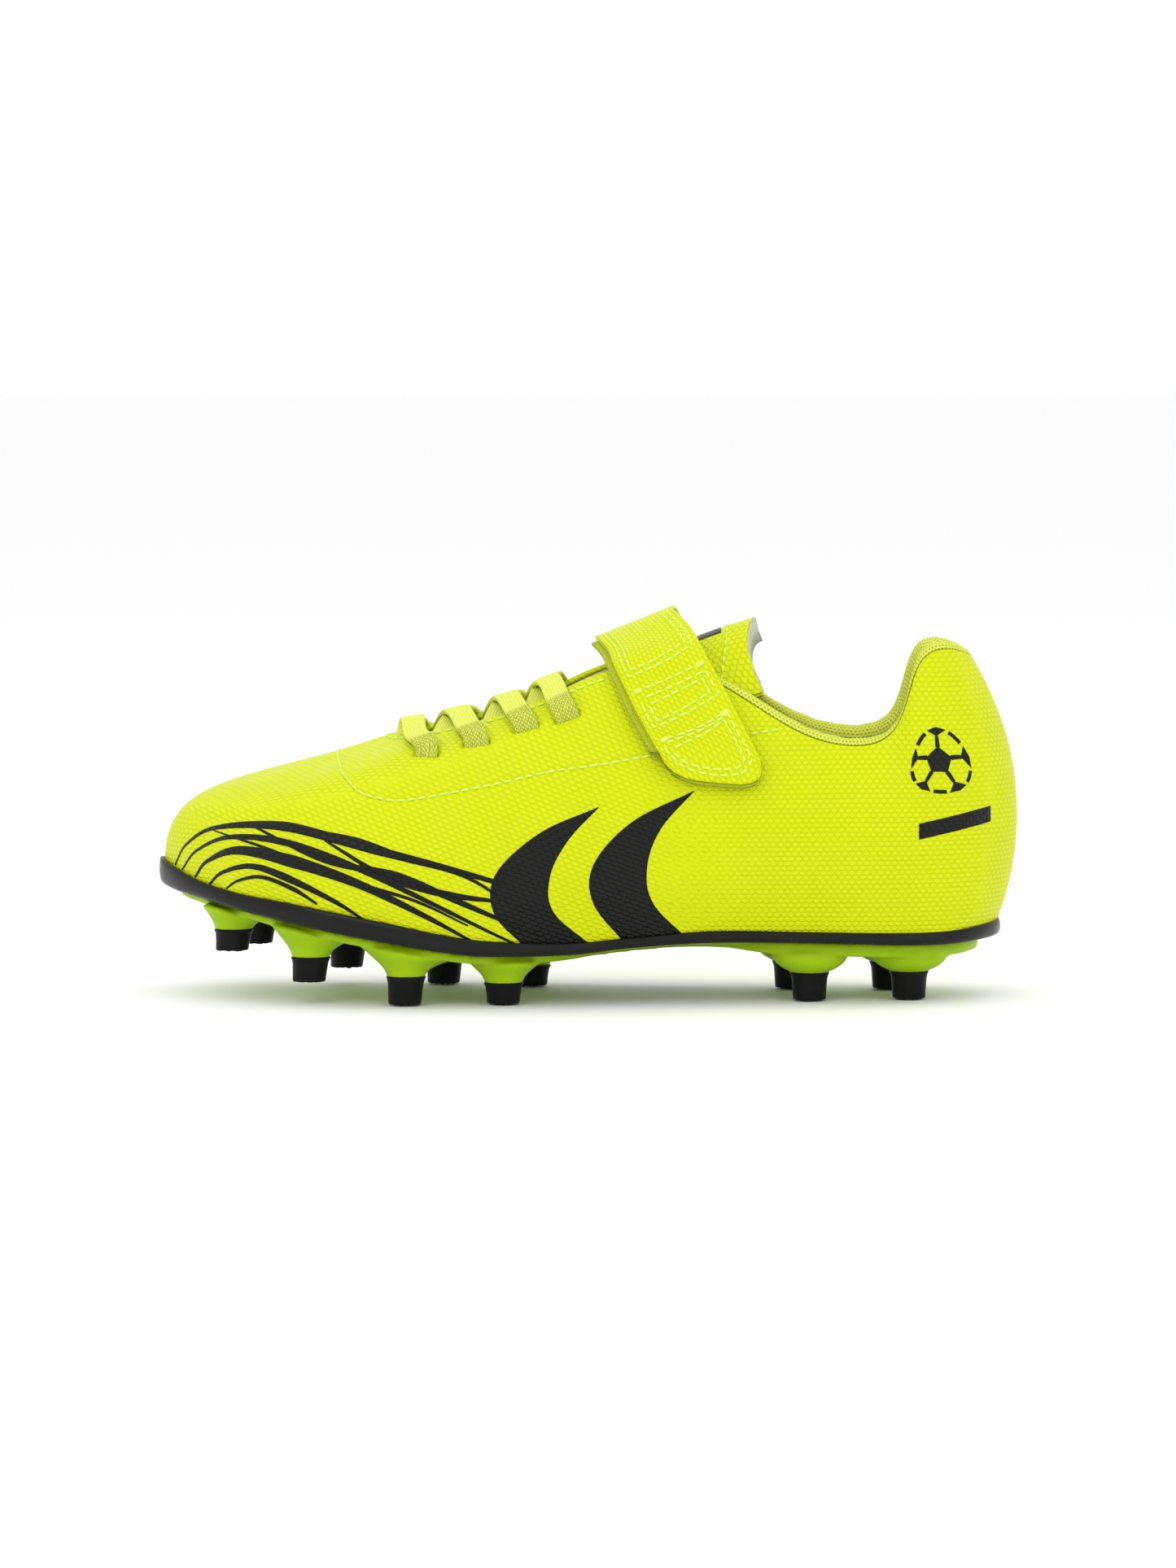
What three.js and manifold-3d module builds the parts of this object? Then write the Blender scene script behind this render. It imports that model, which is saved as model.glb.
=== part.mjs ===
// A child's left football boot: moulded-stud outsole, one-piece synthetic upper, elastic cross lacing,
// padded collar and tongue, and a hook-and-loop instep strap.
// Millimetres. The toe points along -X, the heel along +X, the outer (lateral) side faces -Y, and +Z is up.
// The boot stands on its stud tips at Z = 0, and X = Y = 0 is the middle of its box.
import * as THREE from 'three';
import { mergeVertices } from 'three/addons/utils/BufferGeometryUtils.js';
import Module from 'manifold-3d';

const GAP = 0.3; // clearance left between pieces that touch

// ---- Upper: ribs that run from the sole edge (foot) to the topline (top) -------------------------------
const HEEL_RIB = { foot: [104.6, 0], top: [98.2, 0, 86.5] };
const LATERAL_RIBS = [
  { foot: [99.5, -14.2], top: [92.5, -12, 88.7] },
  { foot: [88, -23.8], top: [83.6, -17.5, 84.5] },
  { foot: [71, -27.2], top: [77.5, -20.8, 69] },
  { foot: [50, -27.3], top: [64, -23.7, 65.2] },
  { foot: [28, -28.5], top: [48, -24.8, 71.5] },
  { foot: [6, -31], top: [28, -21, 83] },
  { foot: [-13, -35], top: [8, -16.5, 84.3] },
  { foot: [-32, -38], top: [-10, -13.3, 77] },
  { foot: [-52, -37.2], top: [-24, -11.8, 71.8] },
  { foot: [-71, -32], top: [-37, -9.6, 68.4] },
  { foot: [-88, -21.5], top: [-45, -5.5, 67] },
  { foot: [-101, -7], top: [-48, -1, 66.7] },
];
const TOE_RIB = { foot: [-108.5, 9], top: [-49, 4, 66.7] };
const MEDIAL_RIBS = [
  { foot: [-104, 22], top: [-48, 9, 66.7] },
  { foot: [-92, 31], top: [-45, 13.5, 67] },
  { foot: [-75, 34.5], top: [-37, 16.5, 68.4] },
  { foot: [-55, 35], top: [-24, 17.5, 71.8] },
  { foot: [-35, 33.8], top: [-10, 17.8, 77] },
  { foot: [-15, 31], top: [8, 19, 84.3] },
  { foot: [5, 26.5], top: [28, 22, 83] },
  { foot: [28, 23.8], top: [48, 24.5, 71.5] },
  { foot: [50, 24.2], top: [64, 23.2, 65.8] },
  { foot: [71, 25], top: [77.5, 20.4, 69.5] },
  { foot: [88, 22.4], top: [83.6, 17.2, 84.5] },
  { foot: [99.5, 13.6], top: [92.5, 11.8, 88.7] },
];
const RIBS = [HEEL_RIB, ...LATERAL_RIBS, TOE_RIB, ...MEDIAL_RIBS];
const RIB_COUNT = RIBS.length;
const TOE_INDEX = RIB_COUNT / 2;
const RING_STEPS = RIB_COUNT * 2; // facets around the boot

// How far the wall swells outward at a third and two thirds of a rib, and how high it has risen there.
const SWELL = [[-108, 13], [-90, 12.5], [-52, 9.6], [-20, 7.6], [6, 6], [60, 5.4], [85, 5.8], [105, 7.2]];
const RISE_LOW = [[-108, 0.47], [-95, 0.44], [-80, 0.38], [-52, 0.32], [0, 0.33], [106, 0.33]];
const RISE_HIGH = [[-108, 0.71], [-80, 0.71], [-52, 0.7], [0, 0.66], [106, 0.667]];

// ---- Sole heights along the boot --------------------------------------------------------------------------
const RIM_TOP = [[-110, 34.6], [-104, 31.9], [-98, 29.7], [-88, 27.6], [-76, 26], [-63, 23.8], [-50, 21.4],
  [-38, 18.9], [-26, 17], [-4, 16], [10, 17.1], [31, 18.6], [60, 18.2], [90, 18], [104, 19.4]];
const RIM_BOTTOM = [[-110, 27.7], [-104, 26.3], [-98, 25.3], [-88, 23.3], [-76, 21], [-63, 18.5],
  [-50, 16.3], [-38, 14.3], [-26, 13], [-4, 13], [10, 14.4], [31, 15.6], [60, 15.3], [90, 14.7],
  [104, 15.5]];
const RIM_PROUD = [[-110, 1.2], [40, 1.1], [105, 0.8]]; // how far the rim stands out from the upper's foot
const RIM_LIP = 0.9; // depth of the tray that the upper sits in
const RIM_CHAMFER = 1;

// ---- Layers of the wall, as depths in from the outer face --------------------------------------------------
const SHELL_THICK = 1.4;
const STIFFENER = [SHELL_THICK + GAP, 2.5];
const LINING = [2.8, 3.6];
const SHELL_ROWS = [0, 0.12, 0.25, 0.38, 0.5, 0.62, 0.74, 0.87, 1];

// ---- Outsole plate and studs --------------------------------------------------------------------------------
const PLATE_INSET = [[-110, 4], [-60, 3], [-30, 3], [-8, 7], [8, 17], [30, 17], [46, 6], [60, 3.5], [110, 5]];
const PLATE_THICK = [[-110, 1.6], [-60, 2.2], [8, 2], [30, 2], [48, 3.2], [110, 3.2]];
const STUD_TIP_RADIUS = 4.7;
const STUD_BASE_RADIUS = 4.9;
// Each stud: name, centre x, centre y, ground height, tip height, flare length and flare width at the plate.
const STUDS = [
  ['lateral_1', -90, -10, 11.9, 5.4, 8, 7],
  ['lateral_2', -70, -23, 5.2, 6.2, 10, 8],
  ['lateral_3', -45.8, -28.5, 0, 7, 12, 8.5],
  ['lateral_4', -21.2, -26, 0, 5.2, 9.5, 8],
  ['medial_1', -85, 19, 11, 5.6, 9, 7.5],
  ['medial_2', -62, 27, 4, 6.4, 10, 8],
  ['medial_3', -37, 26, 0, 6.8, 10.5, 8.5],
  ['medial_4', -14.5, 20, 0, 5.2, 9, 7.5],
  ['heel_lateral_1', 56.3, -16.5, 0, 7, 9.5, 8],
  ['heel_lateral_2', 81.7, -13, 0, 7, 9.5, 8],
  ['heel_medial_1', 52.5, 13.5, 0, 7, 9.5, 8],
  ['heel_medial_2', 77.5, 12, 0, 7, 9.5, 8],
];

// ---- Foot bed -------------------------------------------------------------------------------------------------
const BOARD_THICK = 1.6;
const FOAM_THICK = 3.8;
const COVER_THICK = 0.8;
const BED_INSET = 5.6; // from the foot of the upper to the edge of the foot bed
const BED_EDGE_RISE = 1.2;

// ---- Lacing: four crossings of a flat elastic, each from a slot on one side to the edge on the other ---------
const LACE_WIDTH = 6;
const LACE_THICK = 1.2;
const LACE_STATIONS = [-40.9, -28.2, -15.6, -5.2]; // x of each slot
const SLOT_DROPS = [4.6, 4.8, 5, 6.8]; // how far each slot is below the topline
const LACE_LEAN = 2.6; // how far forward a run has moved when it reaches its own edge
const LACE_CROSS_LEAN = 6; // and how much further forward it lands on the far edge
const THROAT_END = -45.5; // foremost place a run can land
const LACE_CROWN = 2; // how far a run rises above the line between the two edges
const LACE_LIFT = 1.3; // from the wall to the middle of a run
const SLOT_SIZE = [7.6, 3.2, 8];

// ---- Tongue ----------------------------------------------------------------------------------------------------
const TONGUE_TOP = [[-52, 60.6], [-40, 65.6], [-27, 69.6], [-15, 73.8], [-5, 77.4], [6, 82], [27, 91], [36, 94.4],
  [44.6, 97]];
const TONGUE_HALF = [[-52, 12], [-40, 14], [-27, 16], [0, 17.5], [20, 17.8], [32, 17.2], [44.6, 17]];
const TONGUE_DROP = [[-52, 2.5], [-40, 4.6], [-27, 6.2], [0, 8.6], [20, 12], [32, 15], [42, 18.5]];
const TONGUE_START = -52;
const TONGUE_END = [[0, 42.6], [0.3, 41], [0.6, 40.6], [0.85, 42.4], [1, 44.4]]; // x of its free end across it
const TONGUE_MIDDLE = [[-52, 3.6], [0, 1.6], [42, 0]]; // y of its middle line
const TONGUE_FACE = [0, 1];
const TONGUE_FOAM_START = 1.3;
const TONGUE_FOAM = [[-52, 1.4], [-40, 2.4], [-10, 3.6], [30, 4.8], [42, 4.2]];
const TONGUE_LINING_THICK = 0.7;
const TONGUE_STEPS = 15;

// ---- Collar ------------------------------------------------------------------------------------------------------
// Sections across the topline: [distance past the topline along the wall, depth in], outside to inside.
const COLLAR_SKIN_OUT = [[0.7, 0.1], [1.7, 0.3], [2.9, 1.4], [3.4, 3.2], [3, 5.2], [1.2, 7.1], [-3, 8],
  [-9, 7], [-16, 4.6], [-24, 3.8]];
const COLLAR_SKIN_IN = [[0.7, 0.8], [1.4, 1], [2.3, 1.9], [2.7, 3.3], [2.4, 4.8], [0.8, 6.4], [-3, 7.2],
  [-9, 6.2], [-16, 3.8], [-24, 3]];
const COLLAR_FOAM_OUT = [[-15, 2.1], [-8, 2.1], [-1, 2], [1, 2.1], [2.1, 3.2]];
const COLLAR_FOAM_IN = [[-15, 3.3], [-8, 5.8], [-3, 6.7], [0.4, 5.9], [2, 4.7]];
const EVEN_RIBS = 0.85; // reach, in ribs, over which the padding's inward direction is evened out
const ACHILLES_PAD = 0.35; // extra share of padding at the back of the heel
const COLLAR_FROM = 6.5; // rib at which the collar starts on the lateral side, under the strap
const FOAM_FROM = 4.5; // rib at which its foam starts
// The padding thins out towards the front: [ribs from the heel, share of the full thickness or height].
const COLLAR_THICKNESS = [[4, 1], [4.75, 0.72], [5.5, 0.1], [6, 0]];
const COLLAR_HEIGHT = [[5.25, 1], [6.5, 0.6]];

// ---- Strap: edges of the lateral part in side view [x, z], from the instep ridge down to the tip --------------
const STRAP_FRONT_EDGE = [[2.5, 91.6], [7.3, 83.8], [12.4, 72.8], [17.8, 63.2]];
const STRAP_REAR_EDGE = [[21.8, 98.9], [29.3, 87.2], [36.2, 74.4], [43.2, 60.8]];
const STRAP_TIP_ROUND = 6.6; // how far the rounded tip reaches past the straight edges
const STRAP_FACE_THICK = 1.2;
const STRAP_BACK_THICK = 0.8;
const TIP_FACE = [-3.8, -2.6]; // depths outside the wall
const TIP_HOOK = [-2.3, -1.5];
const LOOP_PATCH = [-1.2, -GAP];
const STRAP_SPLIT = 0.36; // share of the lateral run at which the free tip starts
const STRAP_ROOT = { x: [9, 29], z: [70.5, 70.5] }; // root line on the medial wall
const STRAP_ANCHOR_LENGTH = 15;

const COLOURS = {
  upper: 0xdef00a, green: 0x8fc414, black: 0x141414, lace: 0xdfe68a, mesh: 0xdce46e,
  foam: 0xe8e8dc, board: 0xb9b2a0, fibre: 0xcfcabd, strap: 0xdcee0c, loop: 0xc9dc14, bed: 0x22262a,
};

// ---- Small helpers -------------------------------------------------------------------------------------------------
const vec = (x, y, z) => new THREE.Vector3(x, y, z);
const mix = (a, b, t) => a + (b - a) * t;
const range = (count) => Array.from({ length: count }, (_, i) => i);

// A smooth curve through [position, value] knots, level beyond both ends.
function through(knots) {
  const slope = knots.map((knot, i) => {
    const before = knots[Math.max(i - 1, 0)];
    const after = knots[Math.min(i + 1, knots.length - 1)];
    return (after[1] - before[1]) / (after[0] - before[0]);
  });
  return (x) => {
    if (x <= knots[0][0]) return knots[0][1];
    const last = knots.length - 1;
    if (x >= knots[last][0]) return knots[last][1];
    const i = knots.findIndex((knot) => knot[0] > x) - 1;
    const span = knots[i + 1][0] - knots[i][0];
    const t = (x - knots[i][0]) / span;
    const start = (2 * t ** 3 - 3 * t ** 2 + 1) * knots[i][1] + (t ** 3 - 2 * t ** 2 + t) * span * slope[i];
    const end = (3 * t ** 2 - 2 * t ** 3) * knots[i + 1][1] + (t ** 3 - t ** 2) * span * slope[i + 1];
    return start + end;
  };
}

const swellAt = through(SWELL);
const riseLowAt = through(RISE_LOW);
const riseHighAt = through(RISE_HIGH);
const rimTopAt = through(RIM_TOP);
const rimBottomAt = through(RIM_BOTTOM);
const rimProudAt = through(RIM_PROUD);
const trayAt = (x) => rimTopAt(x) - RIM_LIP;

// ---- The wall surface of the upper ------------------------------------------------------------------------------------
const footCurve = new THREE.CatmullRomCurve3(RIBS.map((rib) => vec(rib.foot[0], rib.foot[1], 0)), true);
const topCurve = new THREE.CatmullRomCurve3(RIBS.map((rib) => vec(...rib.top)), true);
const wrap = (turn) => turn - Math.floor(turn);

// Outward direction of the sole outline at a place around the boot (0 = heel, 0.5 = toe).
function outlineNormal(turn) {
  const step = 0.002;
  const along = footCurve.getPoint(wrap(turn + step)).sub(footCurve.getPoint(wrap(turn - step))).normalize();
  return vec(-along.y, along.x, 0);
}

function ribHandles(turn) {
  const foot = footCurve.getPoint(wrap(turn));
  foot.z = trayAt(foot.x) + GAP;
  const top = topCurve.getPoint(wrap(turn));
  const out = outlineNormal(turn);
  const swell = swellAt(foot.x);
  const low = foot.clone().lerp(top, 1 / 3).addScaledVector(out, swell);
  const high = foot.clone().lerp(top, 2 / 3).addScaledVector(out, swell);
  low.z = mix(foot.z, top.z, riseLowAt(foot.x));
  high.z = mix(foot.z, top.z, riseHighAt(foot.x));
  const blend = (a, b, c, d) => vec(0, 0, 0).addScaledVector(foot, a / 6).addScaledVector(low, b / 6)
    .addScaledVector(high, c / 6).addScaledVector(top, d / 6);
  return [foot, blend(-5, 18, -9, 2), blend(2, -9, 18, -5), top];
}

// A point on the outer face: h = 0 at the sole edge, 1 at the topline, and straight on past it.
function wallFace(turn, h) {
  const [a, b, c, d] = ribHandles(turn);
  if (h > 1) return d.clone().addScaledVector(d.clone().sub(c), 3 * (h - 1));
  const s = 1 - h;
  return vec(0, 0, 0).addScaledVector(a, s ** 3).addScaledVector(b, 3 * s * s * h)
    .addScaledVector(c, 3 * s * h * h).addScaledVector(d, h ** 3);
}

function wallInward(turn, h) {
  const dTurn = 0.003;
  const dH = 0.02;
  const along = wallFace(turn + dTurn, h).sub(wallFace(turn - dTurn, h));
  const up = wallFace(turn, h + dH).sub(wallFace(turn, Math.max(h - dH, 0)));
  return along.cross(up).normalize();
}

const wall = (turn, h, depth) => wallFace(turn, h).addScaledVector(wallInward(turn, h), depth);

// A point measured in millimetres past the topline (negative is down the wall).
function pastTopline(turn, distance, depth, inwardAt = wallInward) {
  const length = wallFace(turn, 1).distanceTo(wallFace(turn, 0.9)) * 10;
  const h = 1 + distance / length;
  return wallFace(turn, h).addScaledVector(inwardAt(turn, h), depth);
}

// The wall's inward direction evened out over the neighbouring ribs, for padding that is thicker than its bends.
function evenInward(turn, h) {
  const places = [-EVEN_RIBS, 0, EVEN_RIBS].map((ribs) => wallInward(wrap(turn + ribs / RIB_COUNT), h));
  return places.reduce((sum, inward) => sum.add(inward)).normalize();
}

function toplineTangent(turn) {
  return wallFace(turn + 0.004, 0.95).sub(wallFace(turn - 0.004, 0.95)).normalize();
}

// Where a side-view place (x, z) lies on the lateral or medial wall, as [turn, h].
function findOnWall(x, z, medial) {
  let turn = medial ? 0.72 : 0.25;
  let h = 0.5;
  const step = 0.002;
  for (let round = 0; round < 30; round += 1) {
    const here = wallFace(turn, h);
    const byTurn = wallFace(turn + step, h).sub(here).divideScalar(step);
    const byH = wallFace(turn, Math.min(h + step, 1.2)).sub(here).divideScalar(step);
    const det = byTurn.x * byH.z - byH.x * byTurn.z;
    const dx = x - here.x;
    const dz = z - here.z;
    turn += THREE.MathUtils.clamp((dx * byH.z - byH.x * dz) / det, -0.04, 0.04);
    h = THREE.MathUtils.clamp(h + (byTurn.x * dz - byTurn.z * dx) / det, 0, 1.2);
  }
  return [turn, h];
}

function wallAt(x, z, depth, medial = false) {
  const [turn, h] = findOnWall(x, z, medial);
  return wall(turn, h, depth);
}

// ---- Closed meshes ------------------------------------------------------------------------------------------------------
function closedGeometry(points, faces) {
  const geometry = new THREE.BufferGeometry();
  geometry.setAttribute('position', new THREE.Float32BufferAttribute(points.flatMap((p) => [p.x, p.y, p.z]), 3));
  const volume = faces.reduce((sum, [a, b, c]) => {
    return sum + points[a].dot(points[b].clone().cross(points[c]));
  }, 0);
  const outward = volume > 0 ? faces : faces.map(([a, b, c]) => [a, c, b]);
  geometry.setIndex(outward.flat());
  geometry.computeVertexNormals();
  return geometry;
}

const quad = (a, b, c, d) => [[a, b, c], [a, c, d]];

// A layer with two faces: each section holds matching rows of outer and inner points.
function layer(sections, ring = false) {
  const rows = sections[0].outer.length;
  const around = rows * 2;
  const points = sections.flatMap(({ outer, inner }) => [...outer, ...[...inner].reverse()]);
  const faces = [];
  const spans = ring ? sections.length : sections.length - 1;
  for (const s of range(spans)) {
    const here = s * around;
    const next = ((s + 1) % sections.length) * around;
    for (const i of range(around)) {
      const j = (i + 1) % around;
      // The inner face is split along the same diagonals as the outer one, so the layer keeps its thickness.
      const start = i < rows ? [here + i, here + j, next + j, next + i] : [here + j, next + j, next + i, here + i];
      faces.push(...quad(...start));
    }
  }
  if (!ring) {
    const last = (sections.length - 1) * around;
    for (const i of range(rows - 1)) {
      faces.push(...quad(i, around - 1 - i, around - 2 - i, i + 1));
      faces.push(...quad(last + i, last + i + 1, last + around - 2 - i, last + around - 1 - i));
    }
  }
  return closedGeometry(points, faces);
}

// A stack of closed rings. The first and last are filled straight across, or by a fan round a middle point.
function ringStack(rings, fan = false) {
  const size = rings[0].length;
  const points = rings.flat();
  const faces = [];
  for (const s of range(rings.length - 1)) {
    for (const i of range(size)) {
      const j = (i + 1) % size;
      faces.push(...quad(s * size + i, s * size + j, (s + 1) * size + j, (s + 1) * size + i));
    }
  }
  const fill = (base, flip) => {
    const out = [];
    if (fan) {
      const middle = rings[base / size].reduce((sum, p) => sum.add(p), vec(0, 0, 0)).divideScalar(size);
      points.push(middle);
      for (const i of range(size)) out.push([base + i, points.length - 1, base + ((i + 1) % size)]);
    } else {
      out.push([base, base + size - 1, base + 1]);
      for (let i = 1; i < size / 2 - 1; i += 1) {
        out.push(...quad(base + i, base + size - i, base + size - i - 1, base + i + 1));
      }
      out.push([base + size / 2 - 1, base + size / 2 + 1, base + size / 2]);
    }
    return flip ? out.map(([a, b, c]) => [a, c, b]) : out;
  };
  faces.push(...fill(0, false), ...fill((rings.length - 1) * size, true));
  return closedGeometry(points, faces);
}

const wasm = await Module();
wasm.setup();

function toSolid(geometry) {
  const bare = geometry.clone();
  bare.deleteAttribute('normal');
  bare.deleteAttribute('uv');
  const merged = mergeVertices(bare, 1e-4);
  return new wasm.Manifold(new wasm.Mesh({
    numProp: 3,
    vertProperties: new Float32Array(merged.attributes.position.array),
    triVerts: new Uint32Array(merged.index.array),
  }));
}

function fromSolid(solid) {
  const mesh = solid.getMesh();
  const geometry = new THREE.BufferGeometry();
  geometry.setAttribute('position', new THREE.Float32BufferAttribute(mesh.vertProperties, 3));
  geometry.setIndex([...mesh.triVerts]);
  geometry.computeVertexNormals();
  return geometry;
}

const boot = new THREE.Group();

function addPiece(name, geometry, color, roughness = 0.6) {
  const material = new THREE.MeshStandardMaterial({ color, roughness, metalness: 0 });
  const mesh = new THREE.Mesh(geometry, material);
  mesh.name = name;
  boot.add(mesh);
}

// ---- Upper ------------------------------------------------------------------------------------------------------------------
const turnOfRib = (rib) => rib / RIB_COUNT;
const ringTurns = range(RING_STEPS).map((i) => i / RING_STEPS);

// Ring steps between two ribs (ribs may be halves), going round from the heel past the lateral side.
const turnsBetween = (from, to) => range(Math.round((to - from) * 2) + 1).map((i) => turnOfRib(from + i / 2));

function wallLayer(turns, rows, [outerDepth, innerDepth], ring = false) {
  return layer(turns.map((turn) => ({
    outer: rows.map((h) => wall(turn, h, outerDepth)),
    inner: rows.map((h) => wall(turn, h, innerDepth)),
  })), ring);
}

// Where a station along the throat lies on the topline.
const laceTurn = (station, medial) => {
  const side = medial ? MEDIAL_RIBS : LATERAL_RIBS;
  const first = medial ? TOE_INDEX + 1 : 1;
  for (const i of range(side.length - 1)) {
    const a = side[i].top[0];
    const b = side[i + 1].top[0];
    if ((a - station) * (b - station) <= 0) {
      return turnOfRib(first + i + (station - a) / (b - a));
    }
  }
  throw new Error(`no topline at ${station}`);
};

// The middle of a lace slot on the wall, with the directions along the edge, up the wall and inward.
function slotFrame(index, medial) {
  const x = LACE_STATIONS[index];
  const edge = wallFace(laceTurn(x, medial), 1);
  const [turn, h] = findOnWall(x, edge.z - SLOT_DROPS[index], medial);
  const inward = wallInward(turn, h);
  const along = toplineTangent(laceTurn(x, medial));
  const up = inward.clone().cross(along).normalize();
  if (up.z < 0) up.negate();
  return { middle: wallFace(turn, h), along: up.clone().cross(inward).normalize(), up, inward };
}

function slotCutter(index, medial) {
  const { middle, along, up, inward } = slotFrame(index, medial);
  const box = new THREE.BoxGeometry(...SLOT_SIZE);
  box.applyMatrix4(new THREE.Matrix4().makeBasis(along, up, inward).setPosition(middle));
  return toSolid(box);
}

function cutSlots(geometry, sides) {
  let solid = toSolid(geometry);
  for (const medial of sides) {
    for (const index of LACE_STATIONS.keys()) {
      solid = solid.subtract(slotCutter(index, medial));
    }
  }
  return fromSolid(solid);
}

function addUpper() {
  const shell = wallLayer(ringTurns, SHELL_ROWS, [0, SHELL_THICK], true);
  addPiece('upper_shell', cutSlots(shell, [false, true]), COLOURS.upper, 0.45);
  addPiece('toe_puff', wallLayer(turnsBetween(10.5, 15.5), SHELL_ROWS.slice(0, 6), STIFFENER), COLOURS.fibre, 0.9);
  const counterTurns = turnsBetween(-3, 3).map(wrap);
  addPiece('heel_counter', wallLayer(counterTurns, SHELL_ROWS.slice(0, 6), STIFFENER), COLOURS.fibre, 0.9);
  const eyestayRows = SHELL_ROWS.slice(-3);
  const lateral = wallLayer(turnsBetween(7, 11), eyestayRows, STIFFENER);
  const medial = wallLayer(turnsBetween(15, 19), eyestayRows, STIFFENER);
  addPiece('eyestay_lateral', cutSlots(lateral, [false]), COLOURS.fibre, 0.9);
  addPiece('eyestay_medial', cutSlots(medial, [true]), COLOURS.fibre, 0.9);
  const medialEnd = RIB_COUNT - COLLAR_FROM;
  const vampTurns = turnsBetween(COLLAR_FROM + 0.5, medialEnd - 0.5);
  addPiece('vamp_lining', wallLayer(vampTurns, SHELL_ROWS, LINING), COLOURS.mesh, 0.95);
}

// The padded collar: foam under the topline, and the mesh lining that rolls over it and down to the sole.
function addCollar() {
  const padding = (turn) => 1 + ACHILLES_PAD * Math.max(0, Math.cos(turn * 2 * Math.PI)) ** 8;
  const thicknessAt = through(COLLAR_THICKNESS);
  const heightAt = through(COLLAR_HEIGHT);
  // thin is the depth below which a section keeps its place as the padding thins out.
  const across = (turn, section, thin) => section.map(([distance, depth]) => {
    const ribs = Math.abs(turn) * RIB_COUNT;
    const padded = depth > 1.9 ? mix(1.9, depth, padding(turn)) : depth;
    const thinned = padded > thin ? mix(thin, padded, thicknessAt(ribs)) : padded;
    return pastTopline(wrap(turn), distance > 0 ? distance * heightAt(ribs) : distance, thinned, evenInward);
  });
  addPiece('collar_foam', layer(turnsBetween(-FOAM_FROM, FOAM_FROM).map((turn) => ({
    outer: across(turn, COLLAR_FOAM_OUT, LINING[0] - GAP),
    inner: across(turn, COLLAR_FOAM_IN, LINING[0] - GAP),
  }))), COLOURS.foam, 0.95);
  const lower = [0.45, 0.3, 0.15, 0.02];
  addPiece('quarter_lining', layer(turnsBetween(-COLLAR_FROM, COLLAR_FROM).map((turn) => ({
    outer: [...across(turn, COLLAR_SKIN_OUT, LINING[1]), ...lower.map((h) => wall(wrap(turn), h, LINING[1]))],
    inner: [...across(turn, COLLAR_SKIN_IN, LINING[0]), ...lower.map((h) => wall(wrap(turn), h, LINING[0]))],
  }))), COLOURS.mesh, 0.95);
}

// ---- Foot bed -----------------------------------------------------------------------------------------------------------------
function soleRing(inset, heightAt) {
  return ringTurns.map((turn) => {
    const point = footCurve.getPoint(turn);
    const distance = typeof inset === 'function' ? inset(point.x) : inset;
    point.addScaledVector(outlineNormal(turn), -distance);
    point.z = heightAt(point.x);
    return point;
  });
}

function addFootBed() {
  const boardBottom = (x) => trayAt(x) + GAP;
  const foamBottom = (x) => boardBottom(x) + BOARD_THICK + GAP;
  const coverBottom = (x) => foamBottom(x) + FOAM_THICK + GAP;
  const slab = (bottom, thick, edgeRise, inset) => ringStack([
    soleRing(inset, bottom),
    soleRing(inset, (x) => bottom(x) + thick + edgeRise),
    soleRing(inset + 4, (x) => bottom(x) + thick),
  ]);
  addPiece('insole_board', ringStack([
    soleRing(BED_INSET, boardBottom),
    soleRing(BED_INSET, (x) => boardBottom(x) + BOARD_THICK),
  ]), COLOURS.board, 0.9);
  addPiece('sockliner_foam', slab(foamBottom, FOAM_THICK, BED_EDGE_RISE, BED_INSET), COLOURS.foam, 0.9);
  addPiece('sockliner_cover', ringStack([
    soleRing(BED_INSET + 4, coverBottom),
    soleRing(BED_INSET, (x) => coverBottom(x) + BED_EDGE_RISE),
    soleRing(BED_INSET, (x) => coverBottom(x) + BED_EDGE_RISE + COVER_THICK),
    soleRing(BED_INSET + 4, (x) => coverBottom(x) + COVER_THICK),
  ]), COLOURS.bed, 0.9);
}

// ---- Outsole -------------------------------------------------------------------------------------------------------------------
function addOutsole() {
  addPiece('outsole_frame', ringStack([
    soleRing((x) => RIM_CHAMFER - rimProudAt(x), rimBottomAt),
    soleRing((x) => -rimProudAt(x), (x) => rimBottomAt(x) + RIM_CHAMFER),
    soleRing((x) => -rimProudAt(x), (x) => rimTopAt(x) - RIM_CHAMFER / 3),
    soleRing((x) => RIM_CHAMFER / 3 - rimProudAt(x), rimTopAt),
    soleRing(-GAP, rimTopAt),
    soleRing(-GAP, trayAt),
  ]), COLOURS.black, 0.25);

  const insetAt = through(PLATE_INSET);
  const thickAt = through(PLATE_THICK);
  const plateTop = (x) => rimBottomAt(x) - GAP;
  const plateBottom = (x) => plateTop(x) - thickAt(x);
  let plate = toSolid(ringStack([
    soleRing((x) => insetAt(x) + 0.8, plateBottom),
    soleRing(insetAt, (x) => plateBottom(x) + 0.8),
    soleRing(insetAt, plateTop),
  ]));
  for (const stud of STUDS) plate = plate.add(toSolid(studBase(stud, plateTop, plateBottom)));
  addPiece('stud_plate', fromSolid(plate), COLOURS.green, 0.35);
  for (const stud of STUDS) addPiece(`stud_tip_${stud[0]}`, studTip(stud), COLOURS.black, 0.3);
}

const ROUND_STEPS = 16;
const circle = (cx, cy, rx, ry, heightAt) => range(ROUND_STEPS).map((i) => {
  const angle = (i / ROUND_STEPS) * 2 * Math.PI;
  const x = cx + rx * Math.cos(angle);
  return vec(x, cy + ry * Math.sin(angle), heightAt(x));
});

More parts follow.
